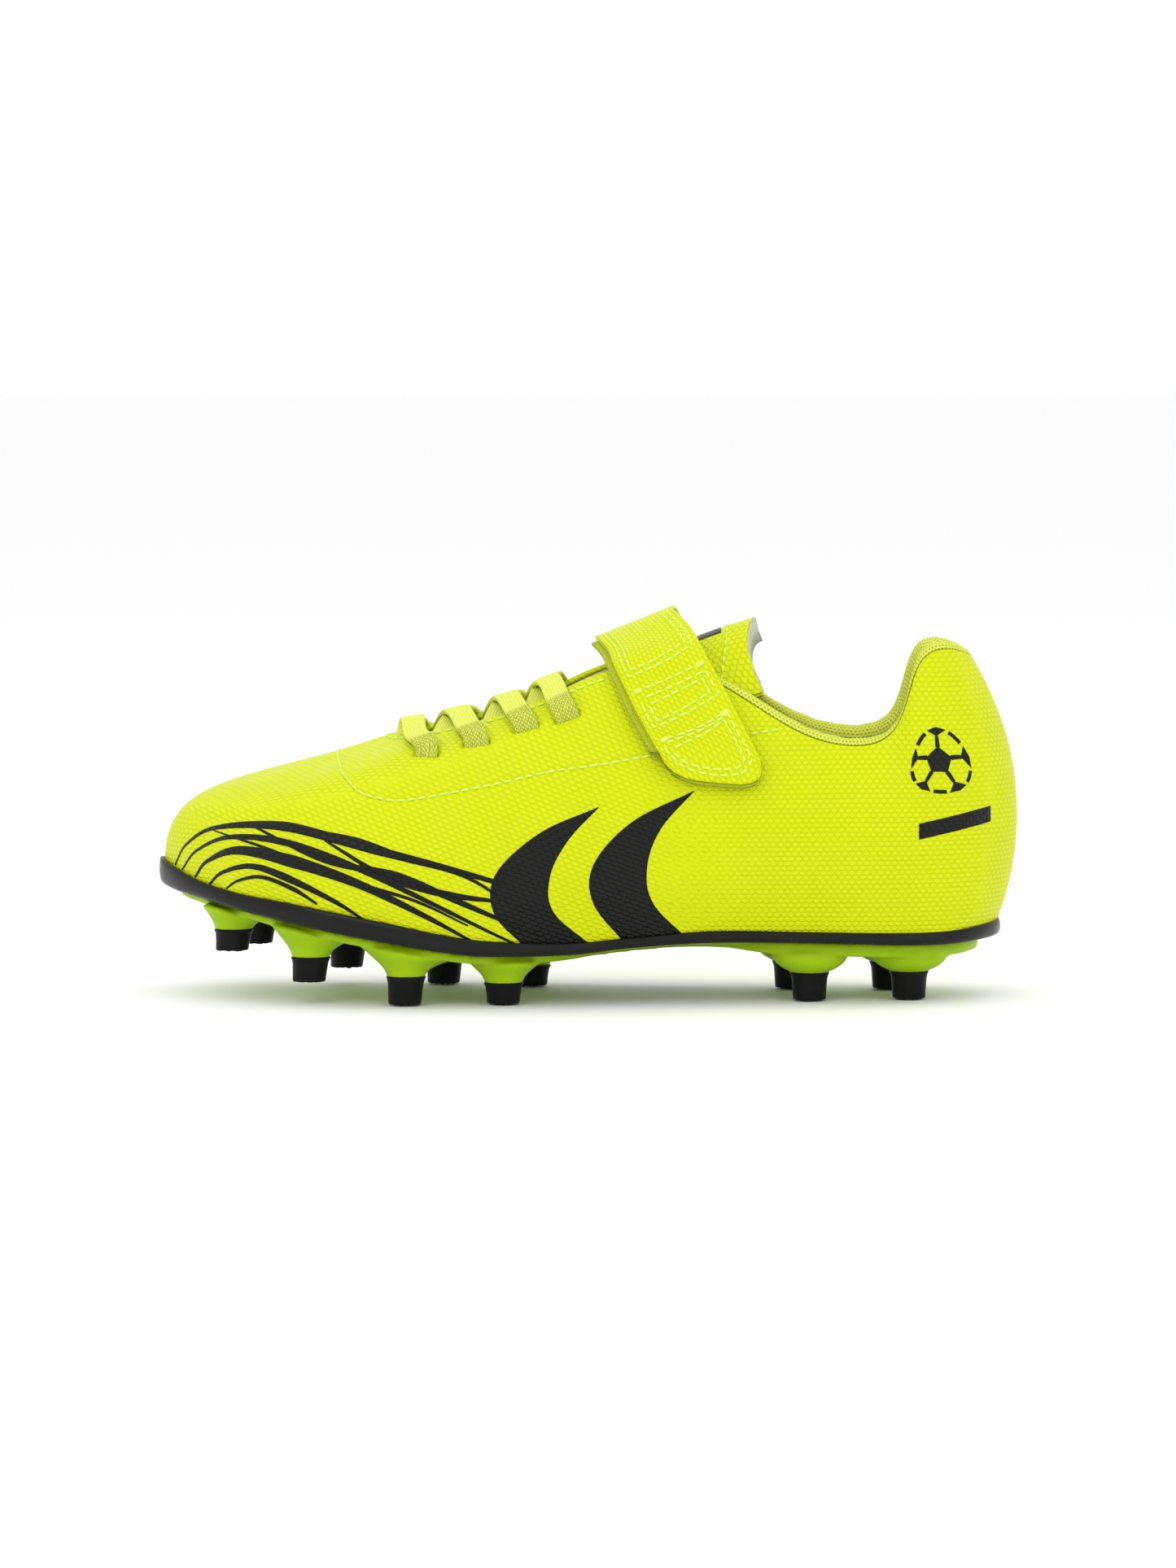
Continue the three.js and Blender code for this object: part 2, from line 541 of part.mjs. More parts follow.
// A bell that flares up into the plate and follows its slope.
function studBase([, cx, cy, ground, tipHeight, flareX, flareY], plateTop, plateBottom) {
  const seat = ground + tipHeight + GAP;
  const shares = [0, 0.25, 0.5, 0.75, 1];
  const isBowl = cx > 0; // the heel's bases have full, rounded sides; the others are funnels
  const rings = shares.map((share) => {
    const flare = isBowl ? Math.sin(Math.min(share * 1.25, 1) * Math.PI / 2) ** 0.8 * (0.94 + 0.06 * share)
      : 0.72 * share ** 1.9 + 0.28 * Math.sin(share * Math.PI / 2) ** 2;
    const rx = mix(STUD_BASE_RADIUS, flareX, flare);
    const ry = mix(STUD_BASE_RADIUS, flareY, flare);
    return circle(cx, cy, rx, ry, (x) => mix(seat, plateBottom(x) + 0.2, share));
  });
  rings.push(circle(cx, cy, flareX * 0.85, flareY * 0.85, (x) => mix(plateBottom(x), plateTop(x), 0.6)));
  return ringStack(rings, true);
}

function studTip([, cx, cy, ground, tipHeight]) {
  const r = STUD_TIP_RADIUS;
  const level = (radius, z) => circle(cx, cy, radius, radius, () => z);
  return ringStack([
    level(r - 1.1, ground),
    level(r - 0.5, ground + 0.35),
    level(r - 0.2, ground + 1.1),
    level(r, ground + tipHeight),
  ], true);
}

// ---- Lacing -----------------------------------------------------------------------------------------------------------------
function ribbon(path, widthAt, thick, steps) {
  const curve = new THREE.CatmullRomCurve3(path);
  return layer(range(steps + 1).map((i) => {
    const point = curve.getPoint(i / steps);
    const along = curve.getTangent(i / steps);
    const side = widthAt(i / steps);
    const out = side.clone().cross(along).normalize().multiplyScalar(thick / 2);
    return {
      outer: [point.clone().sub(side).add(out), point.clone().add(side).add(out)],
      inner: [point.clone().sub(side).sub(out), point.clone().add(side).sub(out)],
    };
  }));
}

function laceRun(index, medial) {
  const { middle, up, inward } = slotFrame(index, medial);
  const edgeStation = LACE_STATIONS[index] - LACE_LEAN;
  const edgeTurn = laceTurn(edgeStation, medial);
  const landing = laceTurn(Math.max(edgeStation - LACE_CROSS_LEAN, THROAT_END), !medial);
  const edge = pastTopline(edgeTurn, 0.3, -LACE_LIFT);
  const halfWay = middle.clone().lerp(edge, 0.5);
  const crown = edge.clone().lerp(pastTopline(landing, 0, 0), 0.5);
  crown.z += LACE_CROWN;
  const path = [
    middle.clone().addScaledVector(up, -0.3).addScaledVector(inward, 0.8),
    middle.clone().addScaledVector(up, 1.6).addScaledVector(inward, -LACE_LIFT),
    wallAt(halfWay.x, halfWay.z, -LACE_LIFT, medial),
    edge,
    crown,
    pastTopline(landing, 3, 1.2),
  ];
  const half = LACE_WIDTH / 2;
  const from = toplineTangent(edgeTurn).multiplyScalar(half);
  const to = toplineTangent(landing).multiplyScalar(-half);
  return ribbon(path, (t) => from.clone().lerp(to, t), LACE_THICK, 14);
}

function addLaces() {
  for (const index of LACE_STATIONS.keys()) {
    const crossing = toSolid(laceRun(index, false)).add(toSolid(laceRun(index, true)));
    addPiece(`elastic_lace_${index + 1}`, fromSolid(crossing), COLOURS.lace, 0.9);
  }
}

// ---- Tongue ------------------------------------------------------------------------------------------------------------------
function addTongue() {
  const topAt = through(TONGUE_TOP);
  const halfAt = through(TONGUE_HALF);
  const dropAt = through(TONGUE_DROP);
  const middleAt = through(TONGUE_MIDDLE);
  const foamAt = through(TONGUE_FOAM);
  const endAt = through(TONGUE_END);
  const surface = (x, v, depth) => {
    const slope = (topAt(x + 1) - topAt(x - 1)) / 2;
    const tilt = (v * dropAt(x) * 2) / halfAt(x);
    const down = vec(slope, -tilt, -1).normalize();
    const point = vec(x, middleAt(x) + v * halfAt(x), topAt(x) - dropAt(x) * v * v);
    return point.addScaledVector(down, depth);
  };
  const columns = range(9).map((i) => mix(-1, 1, i / 8));
  const sheet = (outerAt, innerAt) => layer(range(TONGUE_STEPS + 1).map((i) => {
    const places = columns.map((v) => [mix(TONGUE_START, endAt(Math.abs(v)), i / TONGUE_STEPS), v]);
    return {
      outer: places.map(([x, v]) => surface(x, v, outerAt(x))),
      inner: places.map(([x, v]) => surface(x, v, innerAt(x))),
    };
  }));
  const foamEnd = (x) => TONGUE_FOAM_START + foamAt(x);
  addPiece('tongue_face', sheet(() => TONGUE_FACE[0], () => TONGUE_FACE[1]), COLOURS.upper, 0.5);
  addPiece('tongue_foam', sheet(() => TONGUE_FOAM_START, foamEnd), COLOURS.foam, 0.95);
  const liningStart = (x) => foamEnd(x) + GAP;
  addPiece('tongue_lining', sheet(liningStart, (x) => liningStart(x) + TONGUE_LINING_THICK), COLOURS.mesh, 0.95);
}

// ---- Strap --------------------------------------------------------------------------------------------------------------------
const frontEdge = new THREE.CatmullRomCurve3(STRAP_FRONT_EDGE.map(([x, z]) => vec(x, 0, z)));
const rearEdge = new THREE.CatmullRomCurve3(STRAP_REAR_EDGE.map(([x, z]) => vec(x, 0, z)));
const STRAP_COLUMNS = range(6).map((i) => i / 5);

// A side-view place on the strap: along = 0 on the instep ridge, 1 where the tip starts to round off.
function strapSide(along, across) {
  const front = frontEdge.getPoint(Math.min(along, 1));
  const rear = rearEdge.getPoint(Math.min(along, 1));
  const point = front.lerp(rear, across);
  if (along > 1) {
    const round = Math.sqrt(Math.max(0, 1 - (2 * across - 1) ** 4)) * STRAP_TIP_ROUND;
    point.addScaledVector(vec(0.3, 0, -0.95), (along - 1) * round);
  }
  return point;
}

function lateralStrap(from, to, steps, [outerDepth, innerDepth]) {
  return layer(range(steps + 1).map((i) => {
    const places = STRAP_COLUMNS.map((across) => strapSide(mix(from, to, i / steps), across));
    return {
      outer: places.map((p) => wallAt(p.x, p.z, outerDepth)),
      inner: places.map((p) => wallAt(p.x, p.z, innerDepth)),
    };
  }));
}

// The bridge over the instep, from the root on the medial wall to where the free tip starts.
function strapBridge([outerDepth, innerDepth]) {
  const lines = STRAP_COLUMNS.map((across) => {
    const rootX = mix(STRAP_ROOT.x[0], STRAP_ROOT.x[1], across);
    const rootZ = mix(STRAP_ROOT.z[0], STRAP_ROOT.z[1], across);
    const split = strapSide(STRAP_SPLIT, across);
    const ridge = strapSide(0, across);
    const base = TIP_FACE[1] - 0.1;
    const path = [
      wallAt(rootX, rootZ, base, true),
      wallAt(rootX - 2.5, rootZ + 11.5, base - 0.6, true),
      vec(mix(rootX, ridge.x, 0.72), 12.5, ridge.z - 2.4 - STRAP_FACE_THICK),
      vec(ridge.x, 1.5, ridge.z - STRAP_FACE_THICK),
      vec(mix(ridge.x, split.x, 0.55), -12.5, mix(ridge.z, split.z, 0.42)),
      wallAt(split.x, split.z, base),
    ];
    return new THREE.CatmullRomCurve3(path);
  });
  const steps = 14;
  return layer(range(steps + 1).map((i) => {
    const t = i / steps;
    const row = lines.map((line) => line.getPoint(t));
    const lift = (depth) => row.map((point, c) => {
      const along = lines[c].getTangent(t);
      const side = row[Math.min(c + 1, row.length - 1)].clone().sub(row[Math.max(c - 1, 0)]);
      return point.clone().addScaledVector(along.clone().cross(side).normalize(), depth);
    });
    return { outer: lift(outerDepth), inner: lift(innerDepth) };
  }));
}

function addStrap() {
  addPiece('strap_face', strapBridge([STRAP_FACE_THICK, 0]), COLOURS.strap, 0.5);
  addPiece('strap_backing', strapBridge([-GAP, -GAP - STRAP_BACK_THICK]), COLOURS.loop, 0.95);
  addPiece('strap_tip_face', lateralStrap(STRAP_SPLIT + 0.02, 2, 10, TIP_FACE), COLOURS.strap, 0.5);
  addPiece('strap_tip_hook', lateralStrap(STRAP_SPLIT + 0.1, 1.6, 8, TIP_HOOK), COLOURS.loop, 0.95);
  addPiece('loop_patch', lateralStrap(STRAP_SPLIT + 0.06, 1.9, 8, LOOP_PATCH), COLOURS.loop, 0.95);
  addPiece('strap_anchor', layer(range(5).map((i) => {
    const x = mix(STRAP_ROOT.x[0], STRAP_ROOT.x[1], i / 4);
    const rows = range(4).map((r) => STRAP_ROOT.z[0] - 0.6 - (r / 3) * STRAP_ANCHOR_LENGTH);
    return {
      outer: rows.map((z) => wallAt(x, z, -1.7, true)),
      inner: rows.map((z) => wallAt(x, z, -GAP, true)),
    };
  })), COLOURS.strap, 0.5);
}

addOutsole();
addFootBed();
addUpper();
addCollar();
addTongue();
addLaces();
addStrap();

export default boot;
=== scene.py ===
"""Looks of a child's left football boot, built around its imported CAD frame.

The toe points along -X, the heel along +X, the outer (lateral) side faces -Y and +Z is up. Shapes are
worked out in millimetres and turned into metres when a mesh is made.
"""
import math

import bmesh
import bpy
import numpy as np
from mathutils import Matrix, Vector


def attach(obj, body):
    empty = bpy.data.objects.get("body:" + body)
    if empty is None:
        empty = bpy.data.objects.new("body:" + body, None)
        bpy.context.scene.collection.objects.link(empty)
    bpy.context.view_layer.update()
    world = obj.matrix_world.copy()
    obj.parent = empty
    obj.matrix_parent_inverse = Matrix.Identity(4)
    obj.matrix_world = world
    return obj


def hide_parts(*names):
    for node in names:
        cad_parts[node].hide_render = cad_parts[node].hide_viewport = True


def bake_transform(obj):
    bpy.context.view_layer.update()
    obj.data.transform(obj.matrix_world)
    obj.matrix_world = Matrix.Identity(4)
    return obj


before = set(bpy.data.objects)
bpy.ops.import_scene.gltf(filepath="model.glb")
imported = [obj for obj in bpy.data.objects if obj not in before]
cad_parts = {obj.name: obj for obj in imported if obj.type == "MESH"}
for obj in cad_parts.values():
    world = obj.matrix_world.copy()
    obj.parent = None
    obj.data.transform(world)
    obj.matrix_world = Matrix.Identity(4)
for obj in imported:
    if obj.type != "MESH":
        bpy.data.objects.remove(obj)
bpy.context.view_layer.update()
MM = 0.001

# ---- The upper's ribs, as in the CAD: foot (x, y) on the sole edge and top (x, y, z) on the topline ----
RIBS = [
    ((104.6, 0), (98.2, 0, 86.5)),
    ((99.5, -14.2), (92.5, -12, 88.7)),
    ((88, -23.8), (83.6, -17.5, 84.5)),
    ((71, -27.2), (77.5, -20.8, 69)),
    ((50, -27.3), (64, -23.7, 65.2)),
    ((28, -28.5), (48, -24.8, 71.5)),
    ((6, -31), (28, -21, 83)),
    ((-13, -35), (8, -16.5, 84.3)),
    ((-32, -38), (-10, -13.3, 77)),
    ((-52, -37.2), (-24, -11.8, 71.8)),
    ((-71, -32), (-37, -9.6, 68.4)),
    ((-88, -21.5), (-45, -5.5, 67)),
    ((-101, -7), (-48, -1, 66.7)),
    ((-108.5, 9), (-49, 4, 66.7)),
    ((-104, 22), (-48, 9, 66.7)),
    ((-92, 31), (-45, 13.5, 67)),
    ((-75, 34.5), (-37, 16.5, 68.4)),
    ((-55, 35), (-24, 17.5, 71.8)),
    ((-35, 33.8), (-10, 17.8, 77)),
    ((-15, 31), (8, 19, 84.3)),
    ((5, 26.5), (28, 22, 83)),
    ((28, 23.8), (48, 24.5, 71.5)),
    ((50, 24.2), (64, 23.2, 65.8)),
    ((71, 25), (77.5, 20.4, 69.5)),
    ((88, 22.4), (83.6, 17.2, 84.5)),
    ((99.5, 13.6), (92.5, 11.8, 88.7)),
]
RIB_COUNT = len(RIBS)
SWELL = [(-108, 13), (-90, 12.5), (-52, 9.6), (-20, 7.6), (6, 6), (60, 5.4), (85, 5.8), (105, 7.2)]
RISE_LOW = [(-108, 0.47), (-95, 0.44), (-80, 0.38), (-52, 0.32), (0, 0.33), (106, 0.33)]
RISE_HIGH = [(-108, 0.71), (-80, 0.71), (-52, 0.7), (0, 0.66), (106, 0.667)]
RIM_TOP = [(-110, 34.6), (-104, 31.9), (-98, 29.7), (-88, 27.6), (-76, 26), (-63, 23.8), (-50, 21.4),
           (-38, 18.9), (-26, 17), (-4, 16), (10, 17.1), (31, 18.6), (60, 18.2), (90, 18), (104, 19.4)]
RIM_BOTTOM = [(-110, 27.7), (-104, 26.3), (-98, 25.3), (-88, 23.3), (-76, 21), (-63, 18.5), (-50, 16.3),
           (-38, 14.3), (-26, 13), (-4, 13), (10, 14.4), (31, 15.6), (60, 15.3), (90, 14.7), (104, 15.5)]
RIM_LIP = 0.9
GAP = 0.3
SHELL_THICK = 1.4


# ---- Curves and the wall surface --------------------------------------------------------------------------
def through(knots):
    """A smooth function through (position, value) knots, level beyond both ends."""
    xs, vs = np.array(knots, float).T
    before, after = np.maximum(np.arange(len(xs)) - 1, 0), np.minimum(np.arange(len(xs)) + 1, len(xs) - 1)
    slopes = (vs[after] - vs[before]) / (xs[after] - xs[before])

    def at(x):
        x = np.clip(np.asarray(x, float), xs[0], xs[-1])
        i = np.clip(np.searchsorted(xs, x, side="right") - 1, 0, len(xs) - 2)
        span = xs[i + 1] - xs[i]
        t = (x - xs[i]) / span
        start = (2 * t**3 - 3 * t**2 + 1) * vs[i] + (t**3 - 2 * t**2 + t) * span * slopes[i]
        end = (3 * t**2 - 2 * t**3) * vs[i + 1] + (t**3 - t**2) * span * slopes[i + 1]
        return start + end

    return at


def closed_spline(points):
    """A smooth closed curve through evenly numbered points, as a function of turn, 0 to 1."""
    points = np.array(points, float)
    n = len(points)
    matrix = (np.eye(n) * 4 + np.roll(np.eye(n), 1, 0) + np.roll(np.eye(n), -1, 0)) / 6
    control = np.linalg.solve(matrix, points)

    def at(turn):
        p = np.mod(turn, 1.0) * n
        i = np.floor(p).astype(int)
        w = (p - i)[..., None]
        c = [control[(i + k) % n] for k in (-1, 0, 1, 2)]
        return ((1 - w) ** 3 * c[0] + (3 * w**3 - 6 * w**2 + 4) * c[1]
                + (-3 * w**3 + 3 * w**2 + 3 * w + 1) * c[2] + w**3 * c[3]) / 6

    return at


def open_spline(points):
    """A smooth open curve through points, as a function of t, 0 to 1."""
    points = np.array(points, float)
    last = len(points) - 1
    padded = np.vstack([2 * points[0] - points[1], points, 2 * points[-1] - points[-2]])

    def at(t):
        p = np.clip(np.asarray(t, float), 0, 1) * last
        i = np.minimum(np.floor(p).astype(int), last - 1)
        w = (p - i)[..., None]
        a, b, c, d = (padded[i + k] for k in range(4))
        return 0.5 * (2 * b + (c - a) * w + (2 * a - 5 * b + 4 * c - d) * w**2
                      + (3 * b - a - 3 * c + d) * w**3)

    return at


swell_at, rise_low_at, rise_high_at = through(SWELL), through(RISE_LOW), through(RISE_HIGH)
rim_top_at, rim_bottom_at = through(RIM_TOP), through(RIM_BOTTOM)
rim_proud_at = through([(-110, 1), (40, 0.92), (105, 0.66)])  # share of the rim's full projection
foot_at = closed_spline([rib[0] for rib in RIBS])
top_at = closed_spline([rib[1] for rib in RIBS])


def tray_at(x):
    return rim_top_at(x) - RIM_LIP


def unit(v):
    return v / np.maximum(np.linalg.norm(v, axis=-1, keepdims=True), 1e-9)


def outline_normal(turn):
    along = unit(foot_at(turn + 0.004) - foot_at(turn - 0.004))
    return np.stack([-along[..., 1], along[..., 0]], -1)


def wall_face(turn, h):
    """Points on the outer face: h = 0 at the sole edge, 1 at the topline, and straight on past it."""
    turn, h = np.broadcast_arrays(np.asarray(turn, float), np.asarray(h, float))
    foot_xy, top = foot_at(turn), top_at(turn)
    x = foot_xy[..., 0]
    foot = np.concatenate([foot_xy, (tray_at(x) + GAP)[..., None]], -1)
    out = np.concatenate([outline_normal(turn), np.zeros_like(x)[..., None]], -1) * swell_at(x)[..., None]
    low, high = foot + (top - foot) / 3 + out, foot + (top - foot) * 2 / 3 + out
    rise = top[..., 2] - foot[..., 2]
    low[..., 2] = foot[..., 2] + rise * rise_low_at(x)
    high[..., 2] = foot[..., 2] + rise * rise_high_at(x)
    b = (-5 * foot + 18 * low - 9 * high + 2 * top) / 6
    c = (2 * foot - 9 * low + 18 * high - 5 * top) / 6
    k = np.minimum(h, 1)[..., None]
    s = 1 - k
    inside = s**3 * foot + 3 * s * s * k * b + 3 * s * k * k * c + k**3 * top
    return inside + 3 * np.maximum(h - 1, 0)[..., None] * (top - c)


def wall_inward(turn, h):
    h = np.asarray(h, float)
    along = wall_face(turn + 0.003, h) - wall_face(turn - 0.003, h)
    up = wall_face(turn, h + 0.02) - wall_face(turn, np.maximum(h - 0.02, 0))
    return unit(np.cross(along, up))


def wall(turn, h, depth):
    turn, h = np.asarray(turn, float), np.asarray(h, float)
    depth = np.asarray(depth, float)
    return wall_face(turn, h) + wall_inward(turn, h) * depth[..., None]


def rib_length(turn):
    return np.linalg.norm(wall_face(turn, 1.0) - wall_face(turn, 0.9), axis=-1) * 10


def past_topline(turn, distance, depth):
    """A place measured in millimetres past the topline; negative is down the wall."""
    return wall(turn, 1 + np.asarray(distance, float) / rib_length(turn), depth)


SEARCH_TURNS, SEARCH_HS = np.linspace(0.02, 0.48, 150), np.linspace(0.02, 1.1, 60)


def find_on_wall(x, z, medial=False):
    """(turn, h) of side-view places (x, z) on one side of the wall."""
    x, z = np.broadcast_arrays(np.asarray(x, float), np.asarray(z, float))
    shape = x.shape
    x, z = x.ravel(), z.ravel()
    turns, hs = np.meshgrid(1 - SEARCH_TURNS if medial else SEARCH_TURNS, SEARCH_HS, indexing="ij")
    known = wall_face(turns, hs).reshape(-1, 3)
    turn, h = np.empty_like(x), np.empty_like(x)
    for start in range(0, len(x), 2000):
        part = slice(start, start + 2000)
        near = ((known[None, :, 0] - x[part, None]) ** 2 + (known[None, :, 2] - z[part, None]) ** 2).argmin(1)
        turn[part], h[part] = turns.ravel()[near], hs.ravel()[near]
    step = 0.002
    for _ in range(8):
        here = wall_face(turn, h)
        by_turn = (wall_face(turn + step, h) - here) / step
        by_h = (wall_face(turn, h + step) - here) / step
        det = by_turn[:, 0] * by_h[:, 2] - by_h[:, 0] * by_turn[:, 2]
        det = np.where(np.abs(det) < 1, 1, det)
        dx, dz = x - here[:, 0], z - here[:, 2]
        turn += np.clip((dx * by_h[:, 2] - by_h[:, 0] * dz) / det, -0.02, 0.02)
        h = np.clip(h + np.clip((by_turn[:, 0] * dz - by_turn[:, 2] * dx) / det, -0.1, 0.1), 0, 1.2)
    return turn.reshape(shape), h.reshape(shape)


def wall_at(x, z, depth, medial=False):
    turn, h = find_on_wall(x, z, medial)
    return wall(turn, h, depth)


# ---- Materials --------------------------------------------------------------------------------------------
class Nodes:
    """Short calls that build one node material."""

    def __init__(self, name, **sockets):
        self.material = bpy.data.materials.new(name)
        self.material.use_nodes = True
        self.tree = self.material.node_tree
        self.shader = self.tree.nodes["Principled BSDF"]
        for socket, value in sockets.items():
            self.shader.inputs[socket.replace("_", " ")].default_value = value

    def add(self, kind, inputs=(), output=0, **settings):
        node = self.tree.nodes.new("ShaderNode" + kind)
        for key, value in settings.items():
            setattr(node, key, value)
        for key, value in dict(inputs).items():
            self.put(node.inputs[key], value)
        return node.outputs[output]

    def put(self, socket, value):
        if isinstance(value, bpy.types.NodeSocket):
            self.tree.links.new(value, socket)
        else:
            socket.default_value = value

    def math(self, operation, a, b=0.0, clamp=False):
        return self.add("Math", {0: a, 1: b}, operation=operation, use_clamp=clamp)

    def scaled(self, vector, scale, rotation=(0, 0, 0), location=(0, 0, 0)):
        inputs = {"Vector": vector, "Scale": scale, "Rotation": rotation, "Location": location}
        return self.add("Mapping", inputs)

    def noise(self, vector, scale, detail=3.0, roughness=0.5):
        inputs = {"Vector": vector, "Scale": scale, "Detail": detail, "Roughness": roughness}
        return self.add("TexNoise", inputs)

    def ramp(self, value, low, high, out_low=0.0, out_high=1.0):
        inputs = {"Value": value, "From Min": low, "From Max": high, "To Min": out_low, "To Max": out_high}
        return self.add("MapRange", inputs, interpolation_type="SMOOTHSTEP")

    def blend(self, factor, a, b):
        node = self.tree.nodes.new("ShaderNodeMix")
        node.data_type = "RGBA"
        self.put(node.inputs[0], factor)
        self.put(node.inputs[6], a)
        self.put(node.inputs[7], b)
        return node.outputs[2]

    def mix_value(self, factor, a, b):
        node = self.tree.nodes.new("ShaderNodeMix")
        node.data_type = "FLOAT"
        self.put(node.inputs[0], factor)
        self.put(node.inputs[2], a)
        self.put(node.inputs[3], b)
        return node.outputs[0]

    def colour(self, value):
        self.put(self.shader.inputs["Base Color"], value)

    def roughness(self, value):
        self.put(self.shader.inputs["Roughness"], value)

    def bump(self, *layers):
        """layers are (height, distance in metres) pairs, coarsest first."""
        normal = None
        for height, distance in layers:
            inputs = {"Height": height, "Distance": distance, "Strength": 1.0}
            if normal is not None:
                inputs["Normal"] = normal
            normal = self.add("Bump", inputs)
        self.put(self.shader.inputs["Normal"], normal)

    def cells(self, vector, cell, rotation=0.0):
        """Distance from the middle of a honeycomb cell, 0 to about 0.7, for a 2D vector in metres."""
        width, height = cell
        scale = (1 / width, 1 / (2 * height), 0)
        turned = self.scaled(vector, (1, 1, 1), (0, 0, rotation))
        both = [self.scaled(turned, scale, location=(shift, shift, 0)) for shift in (0.0, 0.5)]
        squares = []
        for place in both:
            local = self.add("VectorMath", {0: place}, operation="FRACTION")
            centred = self.add("VectorMath", {0: local, 1: (0.5, 0.5, 0)}, operation="SUBTRACT")
            stretched = self.add("VectorMath", {0: centred, 1: (1, 1.732, 0)}, operation="MULTIPLY")
            squares.append(self.add("VectorMath", {0: stretched}, output=1, operation="LENGTH"))
        return self.math("MINIMUM", *squares)


HEX_CELL = (0.0018, 0.0012)  # width and row height of the embossed cells, metres
BRICK_CELL = (0.0022, 0.0011)
BRICK_TURN = 0.35
NEON = (0.66, 0.745, 0.003, 1)
# The second neon is painted shade in the grooves of the emboss, and also the darker tone of the upper's
# random mottling.
NEON_GROOVE_SHADE_AND_TONE = (0.59, 0.675, 0.002, 1)


def emboss(n, place, cell, rotation=0.0):
    """Height of the raised cells of the embossed sheet, 0 to 1."""
    return n.ramp(n.cells(place, cell, rotation), 0.30, 0.52, 1.0, 0.0)


def wall_emboss(n):
    """The emboss laid on the sides, the top of the toe and the back of the heel, joined softly."""
    coordinates = n.tree.nodes.new("ShaderNodeTexCoord")
    place, normal = coordinates.outputs["Object"], coordinates.outputs["Normal"]
    split = n.tree.nodes.new("ShaderNodeSeparateXYZ")
    n.put(split.inputs[0], place)
    facing = n.tree.nodes.new("ShaderNodeSeparateXYZ")
    n.put(facing.inputs[0], normal)
    side = n.add("CombineXYZ", {"X": split.outputs[0], "Y": split.outputs[2]})
    top = n.add("CombineXYZ", {"X": split.outputs[0], "Y": split.outputs[1]})
    back = n.add("CombineXYZ", {"X": split.outputs[1], "Y": split.outputs[2]})
    hexes = emboss(n, side, HEX_CELL)
    bricks = emboss(n, side, BRICK_CELL, BRICK_TURN)
    to_heel = n.ramp(split.outputs[0], 0.0, 0.05)
    side_height = n.mix_value(to_heel, bricks, hexes)
    up = n.ramp(n.math("ABSOLUTE", facing.outputs[2]), 0.66, 0.8)
    ends = n.ramp(n.math("ABSOLUTE", facing.outputs[0]), 0.66, 0.8)
    height = n.mix_value(up, side_height, emboss(n, top, BRICK_CELL, BRICK_TURN))
    return place, n.mix_value(ends, height, emboss(n, back, HEX_CELL))


def upper_material():
    n = Nodes("neon_synthetic", Roughness=0.42, Specular_IOR_Level=0.12)
    place, height = wall_emboss(n)
    cloud = n.noise(place, 60, 2)
    # Painted shade: the grooves between the embossed cells are coloured darker than the raised cells.
    painted_groove_shade = n.blend(height, NEON_GROOVE_SHADE_AND_TONE, NEON)
    n.colour(n.blend(n.ramp(cloud, 0.35, 0.65, 0.0, 0.25), painted_groove_shade, NEON_GROOVE_SHADE_AND_TONE))
    n.roughness(n.ramp(n.noise(place, 400, 3), 0.3, 0.7, 0.36, 0.5))
    n.bump((n.noise(place, 90, 3), 0.0006), (height, 0.00017), (n.noise(place, 2500, 2), 0.00003))
    return n.material


def print_material():
    n = Nodes("black_print", Roughness=0.33, Specular_IOR_Level=0.2)
    place, height = wall_emboss(n)
    # Painted shade: the grooves between the embossed cells are coloured darker than the raised cells.
    n.colour(n.blend(height, (0.003, 0.003, 0.003, 1), (0.007, 0.007, 0.006, 1)))
    n.roughness(n.ramp(n.noise(place, 500, 3), 0.3, 0.7, 0.2, 0.32))
    n.bump((height, 0.00026), (n.noise(place, 3000, 2), 0.00003))
    return n.material


def strap_material():
    n = Nodes("neon_strap", Roughness=0.42, Specular_IOR_Level=0.12)
    uv = n.add("UVMap", uv_map="UVMap")
    height = emboss(n, uv, HEX_CELL)
    # Painted shade: the grooves between the embossed cells are coloured darker than the raised cells.
    n.colour(n.blend(height, NEON_GROOVE_SHADE_AND_TONE, NEON))
    n.roughness(n.ramp(n.noise(uv, 400, 3), 0.3, 0.7, 0.36, 0.5))
    n.bump((n.noise(uv, 120, 3), 0.0004), (height, 0.00017), (n.noise(uv, 2500, 2), 0.00003))
    return n.material


def mesh_material(name, colour, dark, pitch=0.0011):
    """Knitted mesh: rows of small round openings, coloured dark as painted shade."""
    n = Nodes(name, Roughness=0.85, Specular_IOR_Level=0.15)
    uv = n.add("UVMap", uv_map="UVMap")
    holes = n.ramp(n.cells(uv, (pitch, pitch * 0.87)), 0.16, 0.34)
    strands = n.math("MULTIPLY", holes, n.ramp(n.noise(uv, 3000, 2), 0.2, 0.8, 0.7, 1.0))
    # Painted shade: the openings between the strands take the dark colour.
    n.colour(n.blend(strands, dark, colour))
    n.bump((n.noise(uv, 150, 2), 0.0003), (strands, 0.0003))
    return n.material


def fuzzy_material(name, colour, dark):
    """Brushed loop or hook tape."""
    n = Nodes(name, Roughness=0.95, Specular_IOR_Level=0.08, Sheen_Weight=0.1, Sheen_Roughness=0.4)
    uv = n.add("UVMap", uv_map="UVMap")
    fibres = n.noise(n.scaled(uv, (1, 2.5, 1)), 1800, 4, 0.7)
    n.colour(n.blend(n.ramp(fibres, 0.35, 0.65), dark, colour))
    n.bump((n.noise(uv, 500, 3), 0.0004), (fibres, 0.0006))
    return n.material


